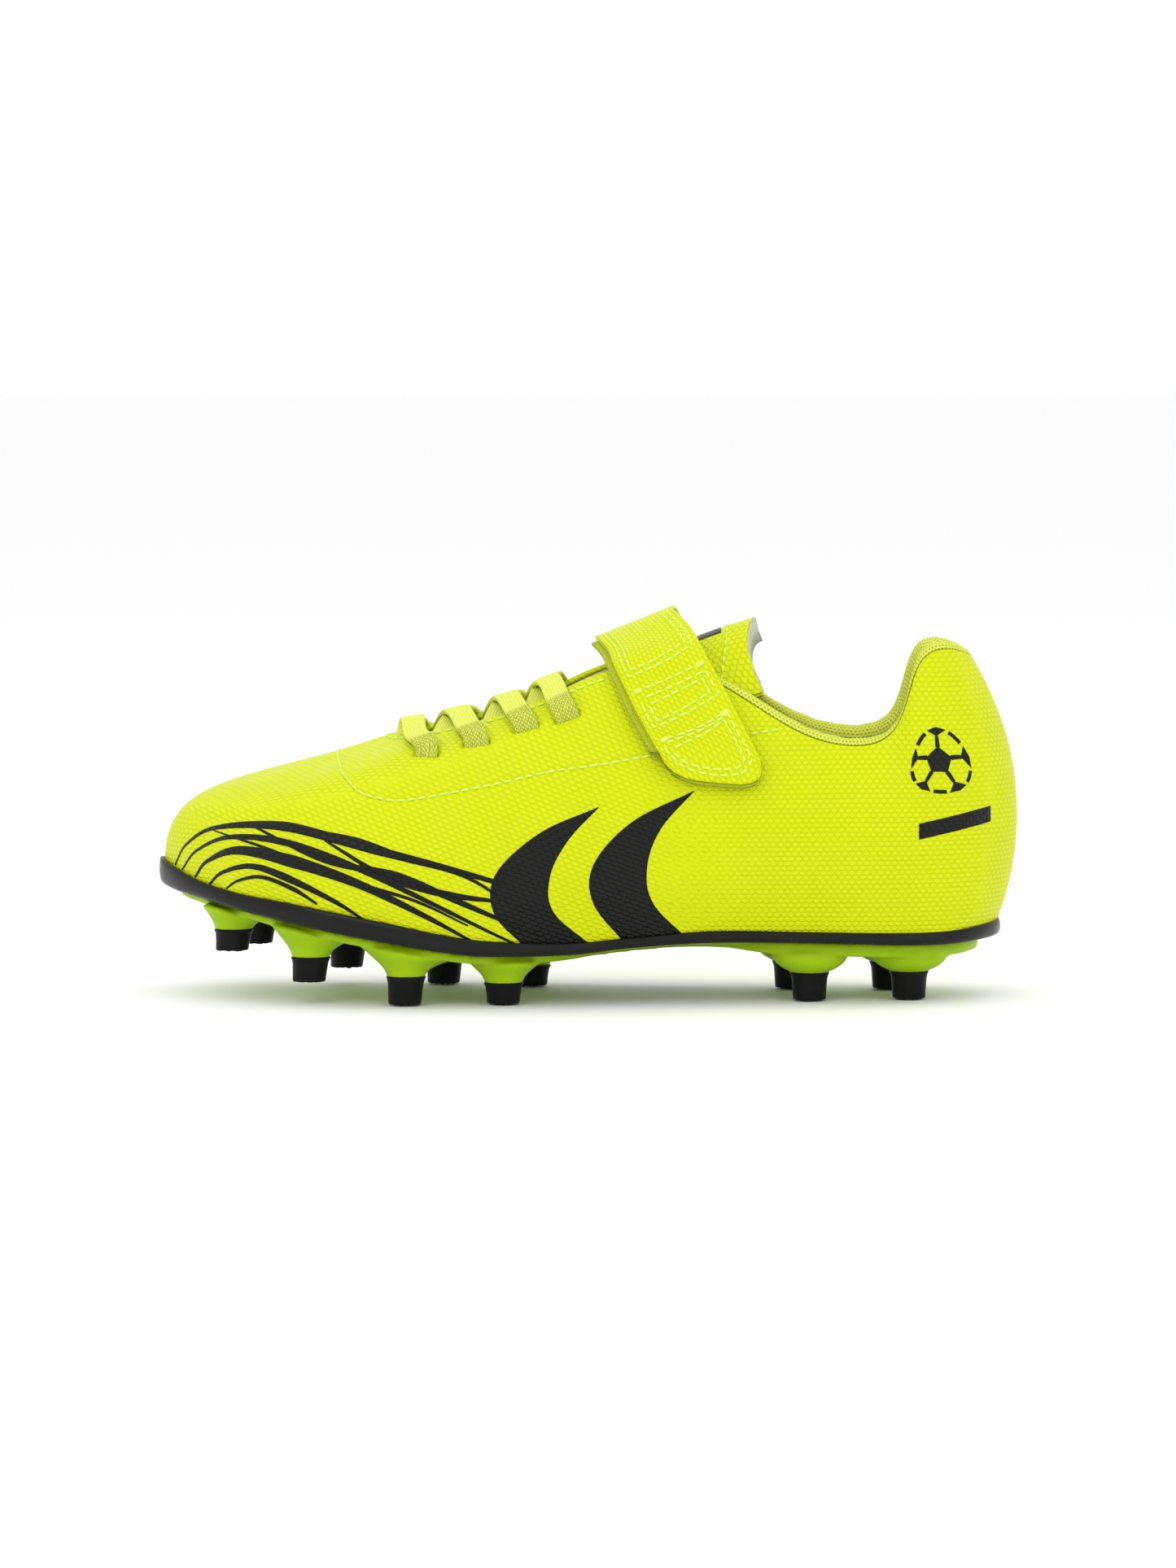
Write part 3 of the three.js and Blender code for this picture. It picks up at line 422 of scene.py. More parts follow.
def elastic_material():
    """Flat elastic: an open knit near the slots, and cross ribs where it runs stretched over the throat."""
    n = Nodes("elastic", Roughness=0.8, Specular_IOR_Level=0.15)
    uv = n.add("UVMap", uv_map="UVMap")
    along = n.add("SeparateXYZ", {0: uv})
    grain = n.noise(n.scaled(uv, (1, 3, 1)), 1500, 3)
    seeds = n.ramp(n.cells(uv, (0.0011, 0.0006)), 0.28, 0.5, 1.0, 0.0)
    ribs = n.math("MULTIPLY", n.math("SINE", n.math("MULTIPLY", along, 7000)), 0.25)
    knitted = n.ramp(along, 0.0075, 0.010, 1.0, 0.0)
    height = n.mix_value(knitted, n.math("ADD", ribs, 0.75), seeds)
    pale = n.blend(n.ramp(grain, 0.35, 0.7), (0.72, 0.78, 0.11, 1), (0.84, 0.90, 0.18, 1))
    # Painted shade: the hollows between the ribs and between the knitted seeds are coloured darker.
    n.colour(n.blend(n.ramp(height, 0.0, 0.35), (0.50, 0.56, 0.05, 1), pale))
    n.bump((height, 0.0003), (grain, 0.00012))
    return n.material


def thread_material():
    n = Nodes("thread", Roughness=0.6, Specular_IOR_Level=0.15)
    place = n.add("TexCoord", output=3)
    twist = n.noise(place, 4000, 2)
    n.colour(n.blend(twist, (0.64, 0.82, 0.09, 1), (0.78, 0.95, 0.20, 1)))
    n.bump((twist, 0.0001))
    return n.material


def moulded_material(name, colour, second, roughness, specular, grain=0.00002):
    """Injection-moulded plastic with faint flow marks and fine grain."""
    n = Nodes(name, Specular_IOR_Level=specular)
    place = n.add("TexCoord", output=3)
    flow = n.noise(n.scaled(place, (1, 1, 3)), 70, 3)
    n.colour(n.blend(n.ramp(flow, 0.35, 0.65), colour, second))
    n.roughness(n.ramp(n.noise(place, 250, 4), 0.3, 0.7, roughness * 0.85, roughness * 1.2))
    n.bump((n.noise(place, 60, 2), 0.00015), (n.noise(place, 2200, 3), grain))
    return n.material


def fibre_material(name, colour, second, scale=900, roughness=0.9):
    """Pressed fibre board, foam or felt."""
    n = Nodes(name, Roughness=roughness, Specular_IOR_Level=0.15)
    place = n.add("TexCoord", output=3)
    fibres = n.noise(place, scale, 5, 0.7)
    n.colour(n.blend(n.ramp(fibres, 0.35, 0.65), colour, second))
    n.bump((fibres, 0.00025))
    return n.material


MATERIALS = {
    "upper": upper_material(),
    "print": print_material(),
    "strap": strap_material(),
    "mesh": mesh_material("mesh_lining", (0.76, 0.82, 0.11, 1), (0.50, 0.56, 0.04, 1)),
    "bed": mesh_material("bed_knit", (0.030, 0.034, 0.036, 1), (0.008, 0.009, 0.010, 1), 0.0009),
    "fuzzy": fuzzy_material("loop_tape", (0.64, 0.72, 0.02, 1), (0.42, 0.49, 0.006, 1)),
    "hook": fuzzy_material("hook_tape", (0.70, 0.80, 0.05, 1), (0.50, 0.58, 0.02, 1)),
    "elastic": elastic_material(),
    "thread": thread_material(),
    "green": moulded_material("green_plate", (0.31, 0.50, 0.002, 1), (0.35, 0.56, 0.003, 1), 0.35, 0.15),
    "rim": moulded_material("black_rim", (0.005, 0.005, 0.0045, 1), (0.008, 0.008, 0.007, 1), 0.27, 0.2),
    "stud": moulded_material("black_stud", (0.005, 0.005, 0.005, 1), (0.008, 0.008, 0.008, 1),
                             0.4, 0.1, 0.00005),
    "foam": fibre_material("open_foam", (0.78, 0.78, 0.70, 1), (0.66, 0.66, 0.58, 1), 1400),
    "board": fibre_material("lasting_board", (0.48, 0.43, 0.34, 1), (0.38, 0.34, 0.27, 1), 500),
    "stiffener": fibre_material("fibre_stiffener", (0.60, 0.57, 0.50, 1), (0.50, 0.47, 0.41, 1), 700),
    "edge": fibre_material("pale_edge", (0.60, 0.63, 0.50, 1), (0.48, 0.51, 0.38, 1), 1200),
}


# ---- Meshes -----------------------------------------------------------------------------------------------
def finish_piece(obj, material, body, replaces=()):
    obj.data.materials.append(MATERIALS[material])
    if body:
        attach(obj, body)
    if replaces:
        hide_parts(*replaces)
    return obj


def make_object(name, points, faces, uvs=None, smooth=True):
    """A mesh object from millimetre points. uvs are millimetre pairs, one for each point."""
    mesh = bpy.data.meshes.new(name)
    mesh.from_pydata((np.asarray(points) * MM).tolist(), [], faces)
    if uvs is not None:
        layer = mesh.uv_layers.new(name="UVMap")
        corners = np.empty(len(mesh.loops), np.int32)
        mesh.loops.foreach_get("vertex_index", corners)
        layer.data.foreach_set("uv", (np.asarray(uvs)[corners] * MM).ravel())
    if smooth:
        mesh.polygons.foreach_set("use_smooth", [True] * len(mesh.polygons))
    shell = bmesh.new()
    shell.from_mesh(mesh)
    bmesh.ops.recalc_face_normals(shell, faces=shell.faces)
    shell.to_mesh(mesh)
    shell.free()
    obj = bpy.data.objects.new(name, mesh)
    bpy.context.scene.collection.objects.link(obj)
    return obj


def tube_faces(sections, around, ring):
    """Quads between closed sections, each of the same number of points, with ladder caps if not a ring."""
    s = np.arange(sections if ring else sections - 1)[:, None]
    i = np.arange(around)[None, :]
    j, t = (i + 1) % around, (s + 1) % sections
    quads = np.stack([s * around + i, s * around + j, t * around + j, t * around + i],
                     -1).reshape(-1, 4).tolist()
    if not ring:
        last = (sections - 1) * around
        for k in range(around // 2 - 1):
            cap = [k, around - 1 - k, around - 2 - k, k + 1]
            quads.append(cap)
            quads.append([last + c for c in reversed(cap)])
    return quads


def loft(name, loops, uvs=None, ring=False):
    """A closed body through closed sections. loops is (sections, around, 3)."""
    loops = np.asarray(loops)
    sections, around = loops.shape[:2]
    flat_uvs = None if uvs is None else np.asarray(uvs).reshape(-1, 2)
    return make_object(name, loops.reshape(-1, 3), tube_faces(sections, around, ring), flat_uvs)


def round_section(rows, outer, inner, overhang=0.5, arc=4):
    """A closed section of (row, depth) pairs with rounded ends, for a sheet from depth outer to inner.

    rows run from one end to the other; overhang is how far the ends round past them, in rows' units."""
    middle, radius = (outer + inner) / 2, (inner - outer) / 2
    angles = np.linspace(-90, 90, arc + 2)[1:-1] * math.pi / 180
    far = [(rows[-1] + overhang * math.cos(a), middle + radius * math.sin(a)) for a in angles]
    near = [(rows[0] - overhang * math.cos(a), middle - radius * math.sin(a)) for a in angles]
    return [(r, outer) for r in rows] + far + [(r, inner) for r in rows[::-1]] + near


def surface_uvs(points):
    """Millimetre coordinates along and across a grid of points, for woven materials."""
    along = np.linalg.norm(np.diff(points, axis=0), axis=-1).mean(axis=1)
    across = np.linalg.norm(np.diff(points, axis=1), axis=-1).mean(axis=0)
    u = np.concatenate([[0], np.cumsum(along)])
    v = np.concatenate([[0], np.cumsum(across)])
    return np.stack(np.broadcast_arrays(u[:, None], v[None, :]), -1)


def wall_layer(name, turns, rows, outer, inner, ring=False, bend=None, overhang=0.004):
    """A layer of the upper between two depths. bend(points, turn, h) may return an extra depth."""
    section = np.array(round_section(list(rows), outer, inner, overhang))
    turn_grid = np.broadcast_to(np.asarray(turns)[:, None], (len(turns), len(section)))
    h_grid = np.broadcast_to(section[None, :, 0], turn_grid.shape)
    depth = np.broadcast_to(section[None, :, 1], turn_grid.shape)
    if bend is not None:
        depth = depth + bend(wall_face(turn_grid, h_grid), turn_grid, h_grid)
    points = wall(turn_grid, np.maximum(h_grid, 0), depth)
    return loft(name, points, surface_uvs(points), ring)


def sheet(name, surface, us, vs, outer, inner, edge=0.5):
    """A sheet with rounded side edges over surface(u, v, depth); us and vs are grids of its two directions.

    edge is how far the rounding reaches past vs, in vs' units."""
    section = np.array(round_section(list(vs), outer, inner, edge))
    u_grid = np.broadcast_to(np.asarray(us)[:, None], (len(us), len(section)))
    points = surface(u_grid, np.broadcast_to(section[None, :, 0], u_grid.shape),
                     np.broadcast_to(section[None, :, 1], u_grid.shape))
    return loft(name, points, surface_uvs(points))


def tube_along(path, side, radii_side, radii_out, count=8):
    """Sections of an oval tube along path; side is the direction across and radii are per section."""
    along = unit(np.gradient(path, axis=0))
    side = unit(side - (side * along).sum(-1, keepdims=True) * along)
    out = np.cross(side, along)
    angles = np.linspace(0, 2 * math.pi, count, endpoint=False)
    ring_side = np.cos(angles)[None, :, None] * radii_side[:, None, None] * side[:, None, :]
    ring_out = np.sin(angles)[None, :, None] * radii_out[:, None, None] * out[:, None, :]
    return path[:, None, :] + ring_side + ring_out


# ---- Thread ---------------------------------------------------------------------------------------------
STITCH_LENGTH = 2.1
STITCH_PITCH = 2.75
THREAD_RADIUS = 0.33


def resample(path, step):
    along = np.concatenate([[0], np.cumsum(np.linalg.norm(np.diff(path, axis=0), axis=1))])
    count = max(int(round(along[-1] / step)), 1)
    at = np.linspace(0, along[-1], count + 1)
    return np.stack([np.interp(at, along, path[:, k]) for k in range(3)], 1), along[-1]


def stitch_points(path, outward, length=STITCH_LENGTH, pitch=STITCH_PITCH, radius=THREAD_RADIUS):
    """Points and faces of a row of stitches along path; outward is the surface direction at each point."""
    along = np.concatenate([[0], np.cumsum(np.linalg.norm(np.diff(path, axis=0), axis=1))])
    count = max(int(along[-1] // pitch), 1)
    spare = (along[-1] - count * pitch + pitch - length) / 2
    shares = np.linspace(0, 1, 7)
    lift = np.sin(shares * math.pi) ** 0.6 * radius * 1.1 - radius * 0.55
    width = radius * (0.55 + 0.45 * np.sin(shares * math.pi) ** 0.5)
    points, faces = [], []
    around = 6
    for k in range(count):
        at = spare + k * pitch + shares * length
        line = np.stack([np.interp(at, along, path[:, c]) for c in range(3)], 1)
        out = unit(np.stack([np.interp(at, along, outward[:, c]) for c in range(3)], 1))
        line = line + out * lift[:, None]
        side = np.cross(out, unit(np.gradient(line, axis=0)))
        loops = tube_along(line, side, width, width, around)
        base = len(points) * around
        faces += [[base + c for c in face] for face in tube_faces(len(line), around, False)]
        points.extend(loops)
    return np.concatenate(points).reshape(-1, 3), faces


def thread_piece(name, rows, body="boot"):
    """One piece that holds several rows of stitches. rows are (path, outward) pairs."""
    points, faces, base = [], [], 0
    for path, outward in rows:
        more, new_faces = stitch_points(path, outward)
        points.append(more)
        faces += [[base + c for c in face] for face in new_faces]
        base += len(more)
    obj = make_object(name, np.concatenate(points), faces)
    return finish_piece(obj, "thread", body)


def nudge(turn, h, offset):
    """(turn, h) moved over the wall by a small offset vector in millimetres."""
    step = 0.002
    here = wall_face(turn, h)
    a = (wall_face(turn + step, h) - here) / step
    b = (wall_face(turn, h + step) - here) / step
    aa, ab, bb = (a * a).sum(-1), (a * b).sum(-1), (b * b).sum(-1)
    ra, rb = (a * offset).sum(-1), (b * offset).sum(-1)
    det = aa * bb - ab * ab
    return turn + (ra * bb - rb * ab) / det, h + (rb * aa - ra * ab) / det


def smooth_rows(rows):
    """A natural cubic spline down rows of points: (function of share 0 to 1, share of each row)."""
    rows = np.asarray(rows, float)
    gaps = np.linalg.norm(np.diff(rows, axis=0), axis=-1).reshape(len(rows) - 1, -1).mean(1)
    knots = np.concatenate([[0], np.cumsum(gaps)]) / gaps.sum()
    span = np.diff(knots)
    matrix, right = np.eye(len(rows)), np.zeros_like(rows)
    for i in range(1, len(rows) - 1):
        matrix[i, i - 1:i + 2] = span[i - 1], 2 * (span[i - 1] + span[i]), span[i]
        right[i] = 6 * ((rows[i + 1] - rows[i]) / span[i] - (rows[i] - rows[i - 1]) / span[i - 1])
    curve = np.linalg.solve(matrix, right.reshape(len(rows), -1)).reshape(rows.shape)

    def at(share):
        share = np.clip(np.asarray(share, float), 0, 1)
        i = np.clip(np.searchsorted(knots, share, side="right") - 1, 0, len(span) - 1)
        grow = (slice(None),) + (None,) * (rows.ndim - 1)
        a = ((knots[i + 1] - share) / span[i])[grow]
        b, wide = 1 - a, span[i][grow]
        return (a * rows[i] + b * rows[i + 1]
                + ((a**3 - a) * curve[i] + (b**3 - b) * curve[i + 1]) * wide**2 / 6)

    return at, knots


# ---- Upper ------------------------------------------------------------------------------------------------
LONG_SEAM = [(-62.5, 58.4), (-57.8, 54), (-53.2, 52.6), (-47.4, 52), (-38.5, 53.2), (-23.5, 56), (-8.7, 59.2),
             (3.7, 61), (14.8, 63), (27, 65.4), (39.9, 68.2), (49.5, 69.6)]
SEAM_BOW = 1.3  # how much further forward the seam runs in the middle of the toe
THROAT_ROW = 2.4  # from the throat's edge down to its row of stitches
SEAM_DEPTH, SEAM_WIDTH = 0.3, 0.8
LINING = (2.8, 3.6)
STIFFENER = (1.7, 2.5)
SHELL_TURNS, SHELL_ROWS = 640, 120


def wall_ripple(turn, h):
    """Gentle unevenness of the lasted upper, in millimetres of depth."""
    a, b = np.asarray(turn) * 2 * math.pi, np.asarray(h)
    return 0.12 * np.sin(9 * a + 5 * b) * np.sin(4.3 * b + 1) + 0.07 * np.sin(23 * a - 11 * b)


def height_at_x(turn, x):
    """Height share at which the toe's ribs reach x."""
    low, high = np.zeros_like(turn), np.ones_like(turn)
    for _ in range(30):
        middle = (low + high) / 2
        beyond = wall_face(turn, middle)[:, 0] > x
        low, high = np.where(beyond, low, middle), np.where(beyond, middle, high)
    return (low + high) / 2


def seam_places():
    """(turn, h) down the long seam: up one side, over the toe and down the other."""
    sides = []
    for medial in (False, True):
        xz = open_spline(LONG_SEAM)(np.linspace(0, 1, 90))
        sides.append(np.stack(find_on_wall(xz[:, 0], xz[:, 1], medial), 1))
    first, last = sides[0][0, 0], sides[1][0, 0]
    shares = np.linspace(0, 1, 40)[1:-1]
    over = first + (last - first) * shares
    x = LONG_SEAM[0][0] - SEAM_BOW * np.sin(shares * math.pi)
    return np.vstack([sides[0][::-1], np.stack([over, height_at_x(over, x)], 1), sides[1]])


SEAM = seam_places()
THROAT_TURNS = np.linspace(7.1, 18.9, 200) / RIB_COUNT


def throat_row(depth):
    return past_topline(THROAT_TURNS, -THROAT_ROW, np.full(len(THROAT_TURNS), depth))


def distance_to(points, path):
    """Distance from each point to a dense path."""
    flat = points.reshape(-1, 3)
    out = np.empty(len(flat))
    for start in range(0, len(flat), 20000):
        part = flat[start:start + 20000]
        out[start:start + 20000] = np.sqrt(((part[:, None] - path[None]) ** 2).sum(-1).min(1))
    return out.reshape(points.shape[:-1])


# ---- Lace slots and runs ----------------------------------------------------------------------------------
LACE_STATIONS = [-40.9, -28.2, -15.6, -5.2]
SLOT_DROPS = [4.6, 4.8, 5, 6.8]
LACE_WIDTH, LACE_THICK = 6, 1.3
LACE_LEAN, LACE_CROSS_LEAN = 2.6, 6
THROAT_END = -45.5
LACE_CROWN, LACE_LIFT = 2, 1.3
SLOT_HALF = (3.5, 0.9)  # half the length and half the height of a slot


def lace_turn(station, medial):
    first = RIB_COUNT // 2 + 1 if medial else 1
    tops = [RIBS[first + i][1][0] for i in range(RIB_COUNT // 2 - 1)]
    for i, (a, b) in enumerate(zip(tops, tops[1:])):
        if (a - station) * (b - station) <= 0:
            return (first + i + (station - a) / (b - a)) / RIB_COUNT
    raise ValueError(station)


def topline_tangent(turn):
    return unit(wall_face(turn + 0.004, 0.95) - wall_face(turn - 0.004, 0.95))


def slot_frame(index, medial):
    """Middle of a lace slot, and its directions along the edge, up the wall and inward."""
    turn = lace_turn(LACE_STATIONS[index], medial)
    edge = wall_face(turn, 1)
    place = find_on_wall(LACE_STATIONS[index], edge[2] - SLOT_DROPS[index], medial)
    inward = wall_inward(*place)
    up = unit(np.cross(inward, topline_tangent(turn)))
    up = up if up[2] > 0 else -up
    return wall_face(*place), np.cross(up, inward), up, inward


SLOTS = [slot_frame(index, medial) for index in range(4) for medial in (False, True)]


def upper_relief(points, turn, h):
    """Extra depth of the outer face at stitch lines and lace slots."""
    depth = wall_ripple(turn, h)
    seam = wall(SEAM[:, 0], SEAM[:, 1], np.zeros(len(SEAM)))
    fine = resample(seam, 0.6)[0]
    depth = depth + SEAM_DEPTH * np.exp(-(distance_to(points, fine) / SEAM_WIDTH) ** 2)
    row = resample(throat_row(0.0), 0.6)[0]
    depth = depth + 0.2 * np.exp(-(distance_to(points, row) / 0.7) ** 2)
    for middle, along, up, inward in SLOTS:
        local = points - middle
        a, u = np.abs(local @ along), np.abs(local @ up)
        near = np.abs(local @ inward) < 6
        inside = (near * np.clip((SLOT_HALF[0] + 0.4 - a) / 0.8, 0, 1)
                  * np.clip((SLOT_HALF[1] + 0.3 - u) / 0.6, 0, 1))
        welt = near * np.exp(-((u - SLOT_HALF[1] - 0.9) / 0.5) ** 2) * (a < SLOT_HALF[0] + 1)
        depth = depth + 0.9 * inside - 0.12 * welt
    return depth


def layer_turns(first, last, per_rib=20):
    return np.linspace(first, last, int(abs(last - first) * per_rib) + 1) / RIB_COUNT


def add_upper():
    turns = np.arange(SHELL_TURNS) / SHELL_TURNS
    rows = np.linspace(0, 1, SHELL_ROWS)
    shell = wall_layer("upper_skin", turns, rows, 0.0, SHELL_THICK, True, upper_relief)
    finish_piece(shell, "upper", "boot", ["upper_shell"])
    low = np.linspace(0.01, 0.62, 26)
    high = np.linspace(0.74, 0.995, 18)
    for name, first, last, rows, node in (
        ("toe_puff_board", 10.5, 15.5, low, "toe_puff"),
        ("heel_counter_board", -3, 3, low, "heel_counter"),
        ("eyestay_board_lateral", 7, 11, high, "eyestay_lateral"),
        ("eyestay_board_medial", 15, 19, high, "eyestay_medial"),
    ):
        board = wall_layer(name, layer_turns(first, last), rows, *STIFFENER)
        finish_piece(board, "stiffener", "boot", [node])
    vamp = wall_layer("vamp_lining_knit", layer_turns(7, 19), np.linspace(0.01, 0.995, 60), *LINING)
    finish_piece(vamp, "mesh", "boot", ["vamp_lining"])


def add_upper_stitches():
    path = wall(SEAM[:, 0], SEAM[:, 1], SEAM_DEPTH * 0.55 + wall_ripple(SEAM[:, 0], SEAM[:, 1]))
    outward = -wall_inward(SEAM[:, 0], SEAM[:, 1])
    thread_piece("stitches_long_seam", [(path, outward)])
    hs = 1 - THROAT_ROW / rib_length(THROAT_TURNS)
    row = throat_row(0.0) + wall_inward(THROAT_TURNS, hs) * (0.1 + wall_ripple(THROAT_TURNS, hs))[:, None]
    thread_piece("stitches_throat", [(row, -wall_inward(THROAT_TURNS, hs))])


# ---- Prints: plain shapes of this model's own -------------------------------------------------------------
PRINT_OUT, PRINT_IN = -0.11, 0.06
BLADES = {  # front edge and rear edge of each blade, (x, z) from the sole up to its point
    "front": ([(-15, 14.5), (-23.5, 24), (-23, 34), (-12, 44), (3, 50.5)],
              [(2, 14.5), (-8.5, 24), (-9.5, 33), (-5, 42), (3, 50.5)]),
    "rear": ([(10, 15), (1.5, 26), (1.5, 36), (11, 46.5), (27, 54.5)],
             [(26, 16), (16.5, 26), (15, 35.5), (18.5, 45), (27, 54.5)]),
}
# Flowing lines of the toe: (x, z) knots and half widths along each.
TOE_LINES = [
    ([(-105.5, 33), (-102, 39), (-94, 43.8), (-76, 45), (-52, 39.5), (-34, 35), (-20, 31)],
     [0.3, 0.35, 0.6, 1.3, 1.1, 0.8, 0.5]),
    ([(-103.5, 32), (-99.5, 37.5), (-91, 41.6), (-78, 41.5), (-62, 37), (-42, 28), (-18, 16)],
     [0.25, 0.35, 0.6, 0.9, 0.8, 0.6, 0.3]),
    ([(-100, 30.6), (-96.5, 35.2), (-88, 38.6), (-74, 36.5), (-58, 31.5), (-42, 24), (-29, 17)],
     [0.3, 0.5, 1.1, 1.6, 1.1, 0.7, 0.3]),
    ([(-96, 29.3), (-92.5, 32.6), (-85, 34.8), (-76, 32.5), (-64, 27), (-55, 21.4)],
     [0.3, 0.45, 0.7, 1.0, 0.6, 0.25]),
    ([(-84, 44.6), (-66, 37), (-48, 33.5), (-30, 26), (-12, 18)], [0.3, 0.6, 1.0, 0.7, 0.3]),
    ([(-66, 42), (-50, 33), (-36, 29), (-22, 27)], [0.3, 0.7, 0.9, 0.4]),
    ([(-91.5, 28.6), (-88, 31), (-82, 32.2), (-74, 29.6), (-68, 26)], [0.2, 0.35, 0.5, 0.6, 0.3]),
    ([(-95, 43), (-80, 39.2), (-62, 32.6), (-44, 27.5), (-30, 21)], [0.15, 0.4, 0.55, 0.4, 0.2]),
    ([(-72, 44.8), (-58, 42.4), (-44, 37.4), (-30, 33), (-16, 24)], [0.2, 0.45, 0.55, 0.45, 0.2]),
]
BALL_CENTRE = (88.5, 61.5)  # heel emblem: a football seen face on
BALL_RADIUS = 8.5
HEEL_BAR = ([(83.5, 41.8), (83.5, 45.8)], [(102, 45.6), (102, 49.6)])  # front edge and rear edge


def print_ribbon(turn, h, half, across=5):
    """Sections of a flat print over the wall along (turn, h)."""
    along = np.gradient(wall_face(turn, h), axis=0)
    side = unit(np.cross(wall_inward(turn, h), along))
    section = np.array(round_section(list(np.linspace(-1, 1, across)), PRINT_OUT, PRINT_IN, 0.0, 1))
    reach = section[:, 0][None, :, None] * half[:, None, None] * side[:, None, :]
    turns = np.broadcast_to(turn[:, None], reach.shape[:2])
    hs = np.broadcast_to(h[:, None], reach.shape[:2])
    turns, hs = nudge(turns, hs, reach)
    hs = np.maximum(hs, 0.0)
    return wall(turns, hs, section[None, :, 1] + wall_ripple(turns, hs))


def merged(name, bodies):
    """One mesh from several lists of sections."""
    points, faces, base = [], [], 0
    for loops in bodies:
        sections, around = loops.shape[:2]
        faces += [[base + c for c in face] for face in tube_faces(sections, around, False)]
        points.append(loops.reshape(-1, 3))
        base += sections * around
    return make_object(name, np.concatenate(points), faces)


def line_sections(knots, widths, medial, samples=120):
    shares = np.linspace(0, 1, samples)
    xz = open_spline(knots)(shares)
    half = np.interp(shares, np.linspace(0, 1, len(widths)), widths)
    turn, h = find_on_wall(xz[:, 0], xz[:, 1], medial)
    return print_ribbon(turn, h, half)


def blade_sections(front, rear, medial, samples=90, across=22):
    shares = np.linspace(0, 0.995, samples)
    a, b = open_spline(front)(shares), open_spline(rear)(shares)
    section = np.array(round_section(list(np.linspace(0, 1, across)), PRINT_OUT, PRINT_IN, 0.0, 1))
    xz = a[:, None] + (b - a)[:, None] * section[None, :, :1]
    turn, h = find_on_wall(xz[..., 0], xz[..., 1], medial)
    return wall(turn, h, section[None, :, 1] + wall_ripple(turn, h))


def patch_sections(centre, outline, medial=False, rings=12):
    """A filled print round a place on the wall; outline is in millimetres to the right and up."""
    turn, h = find_on_wall(*centre, medial)
    inward = wall_inward(turn, h)
    up = unit(np.array([0, 0, 1.0]) - inward * inward[2])
    right = unit(np.cross(inward, up)) * (-1 if medial else 1)
    right = right if right[0] > 0 else -right
    scales = np.concatenate([[1.0, 1.0], np.linspace(0.985, 0.02, rings)])
    depths = np.concatenate([[PRINT_IN, PRINT_OUT * 0.7], np.full(rings, PRINT_OUT)])
    middle = outline.mean(0)
    flat = middle + (outline - middle)[None] * scales[:, None, None]
    offset = flat[..., :1] * right + flat[..., 1:] * up
    turns, hs = nudge(np.full(flat.shape[:2], turn), np.full(flat.shape[:2], h), offset)
    return wall(turns, hs, depths[:, None] + wall_ripple(turns, hs))


def polygon(corners, per_side=8):
    """Even points round a straight-sided outline."""
    corners = np.array(corners, float)
    following = np.roll(corners, -1, 0)
    shares = np.arange(per_side)[None, :, None] / per_side
    return (corners[:, None] + (following - corners)[:, None] * shares).reshape(-1, 2)


def heel_ball():
    """A pentagon, five short seams from its corners, and the arcs of the ball's outline between them."""
    angles = math.pi / 2 + np.arange(5) * 2 * math.pi / 5
    corner = np.stack([np.cos(angles), np.sin(angles)], 1)
    bodies = [patch_sections(BALL_CENTRE, polygon(corner * 0.42 * BALL_RADIUS))]
    for angle, point in zip(angles, corner):
        side = np.array([-point[1], point[0]])
        seam = [point * 0.4 + side * 0.07, point * 0.73 + side * 0.055,
                point * 0.73 - side * 0.055, point * 0.4 - side * 0.07]
        bodies.append(patch_sections(BALL_CENTRE, polygon(seam) * BALL_RADIUS))
        wedge = [point * 0.93 + side * 0.31, point * 0.72, point * 0.93 - side * 0.31, point]
        bodies.append(patch_sections(BALL_CENTRE, polygon(wedge) * BALL_RADIUS))
        arc = np.linspace(angle + 0.42, angle + 2 * math.pi / 5 - 0.42, 14)
        ring = np.stack([np.cos(arc), np.sin(arc)], 1)
        bodies.append(arc_sections(np.vstack([ring, ring[::-1] * 0.89]) * BALL_RADIUS))
    return bodies


def arc_sections(outline):
    """A thin arc of the ball's outline as a print of its own."""
    turn, h = find_on_wall(*BALL_CENTRE)
    inward = wall_inward(turn, h)
    up = unit(np.array([0, 0, 1.0]) - inward * inward[2])
    right = np.cross(inward, up)
    right = right if right[0] > 0 else -right
    half = len(outline) // 2
    middle = (outline[:half] + outline[half:][::-1]) / 2
    width = np.linalg.norm(outline[:half] - outline[half:][::-1], axis=1) / 2
    offset = middle[:, :1] * right + middle[:, 1:] * up
    turns, hs = nudge(np.full(half, turn), np.full(half, h), offset)
    return print_ribbon(turns, hs, width)


def add_prints():
    for medial in (False, True):
        side = "medial" if medial else "lateral"
        lines = merged(f"print_toe_lines_{side}", [line_sections(*line, medial) for line in TOE_LINES])
        finish_piece(lines, "print", "boot")
        for place, (front, rear) in BLADES.items():
            blade = merged(f"print_blade_{place}_{side}", [blade_sections(front, rear, medial)])
            finish_piece(blade, "print", "boot")
    ball = merged("print_heel_ball", heel_ball())
    finish_piece(ball, "print", "boot")
    bar = merged("print_heel_bar", [blade_sections(*HEEL_BAR, False)])
    finish_piece(bar, "print", "boot")


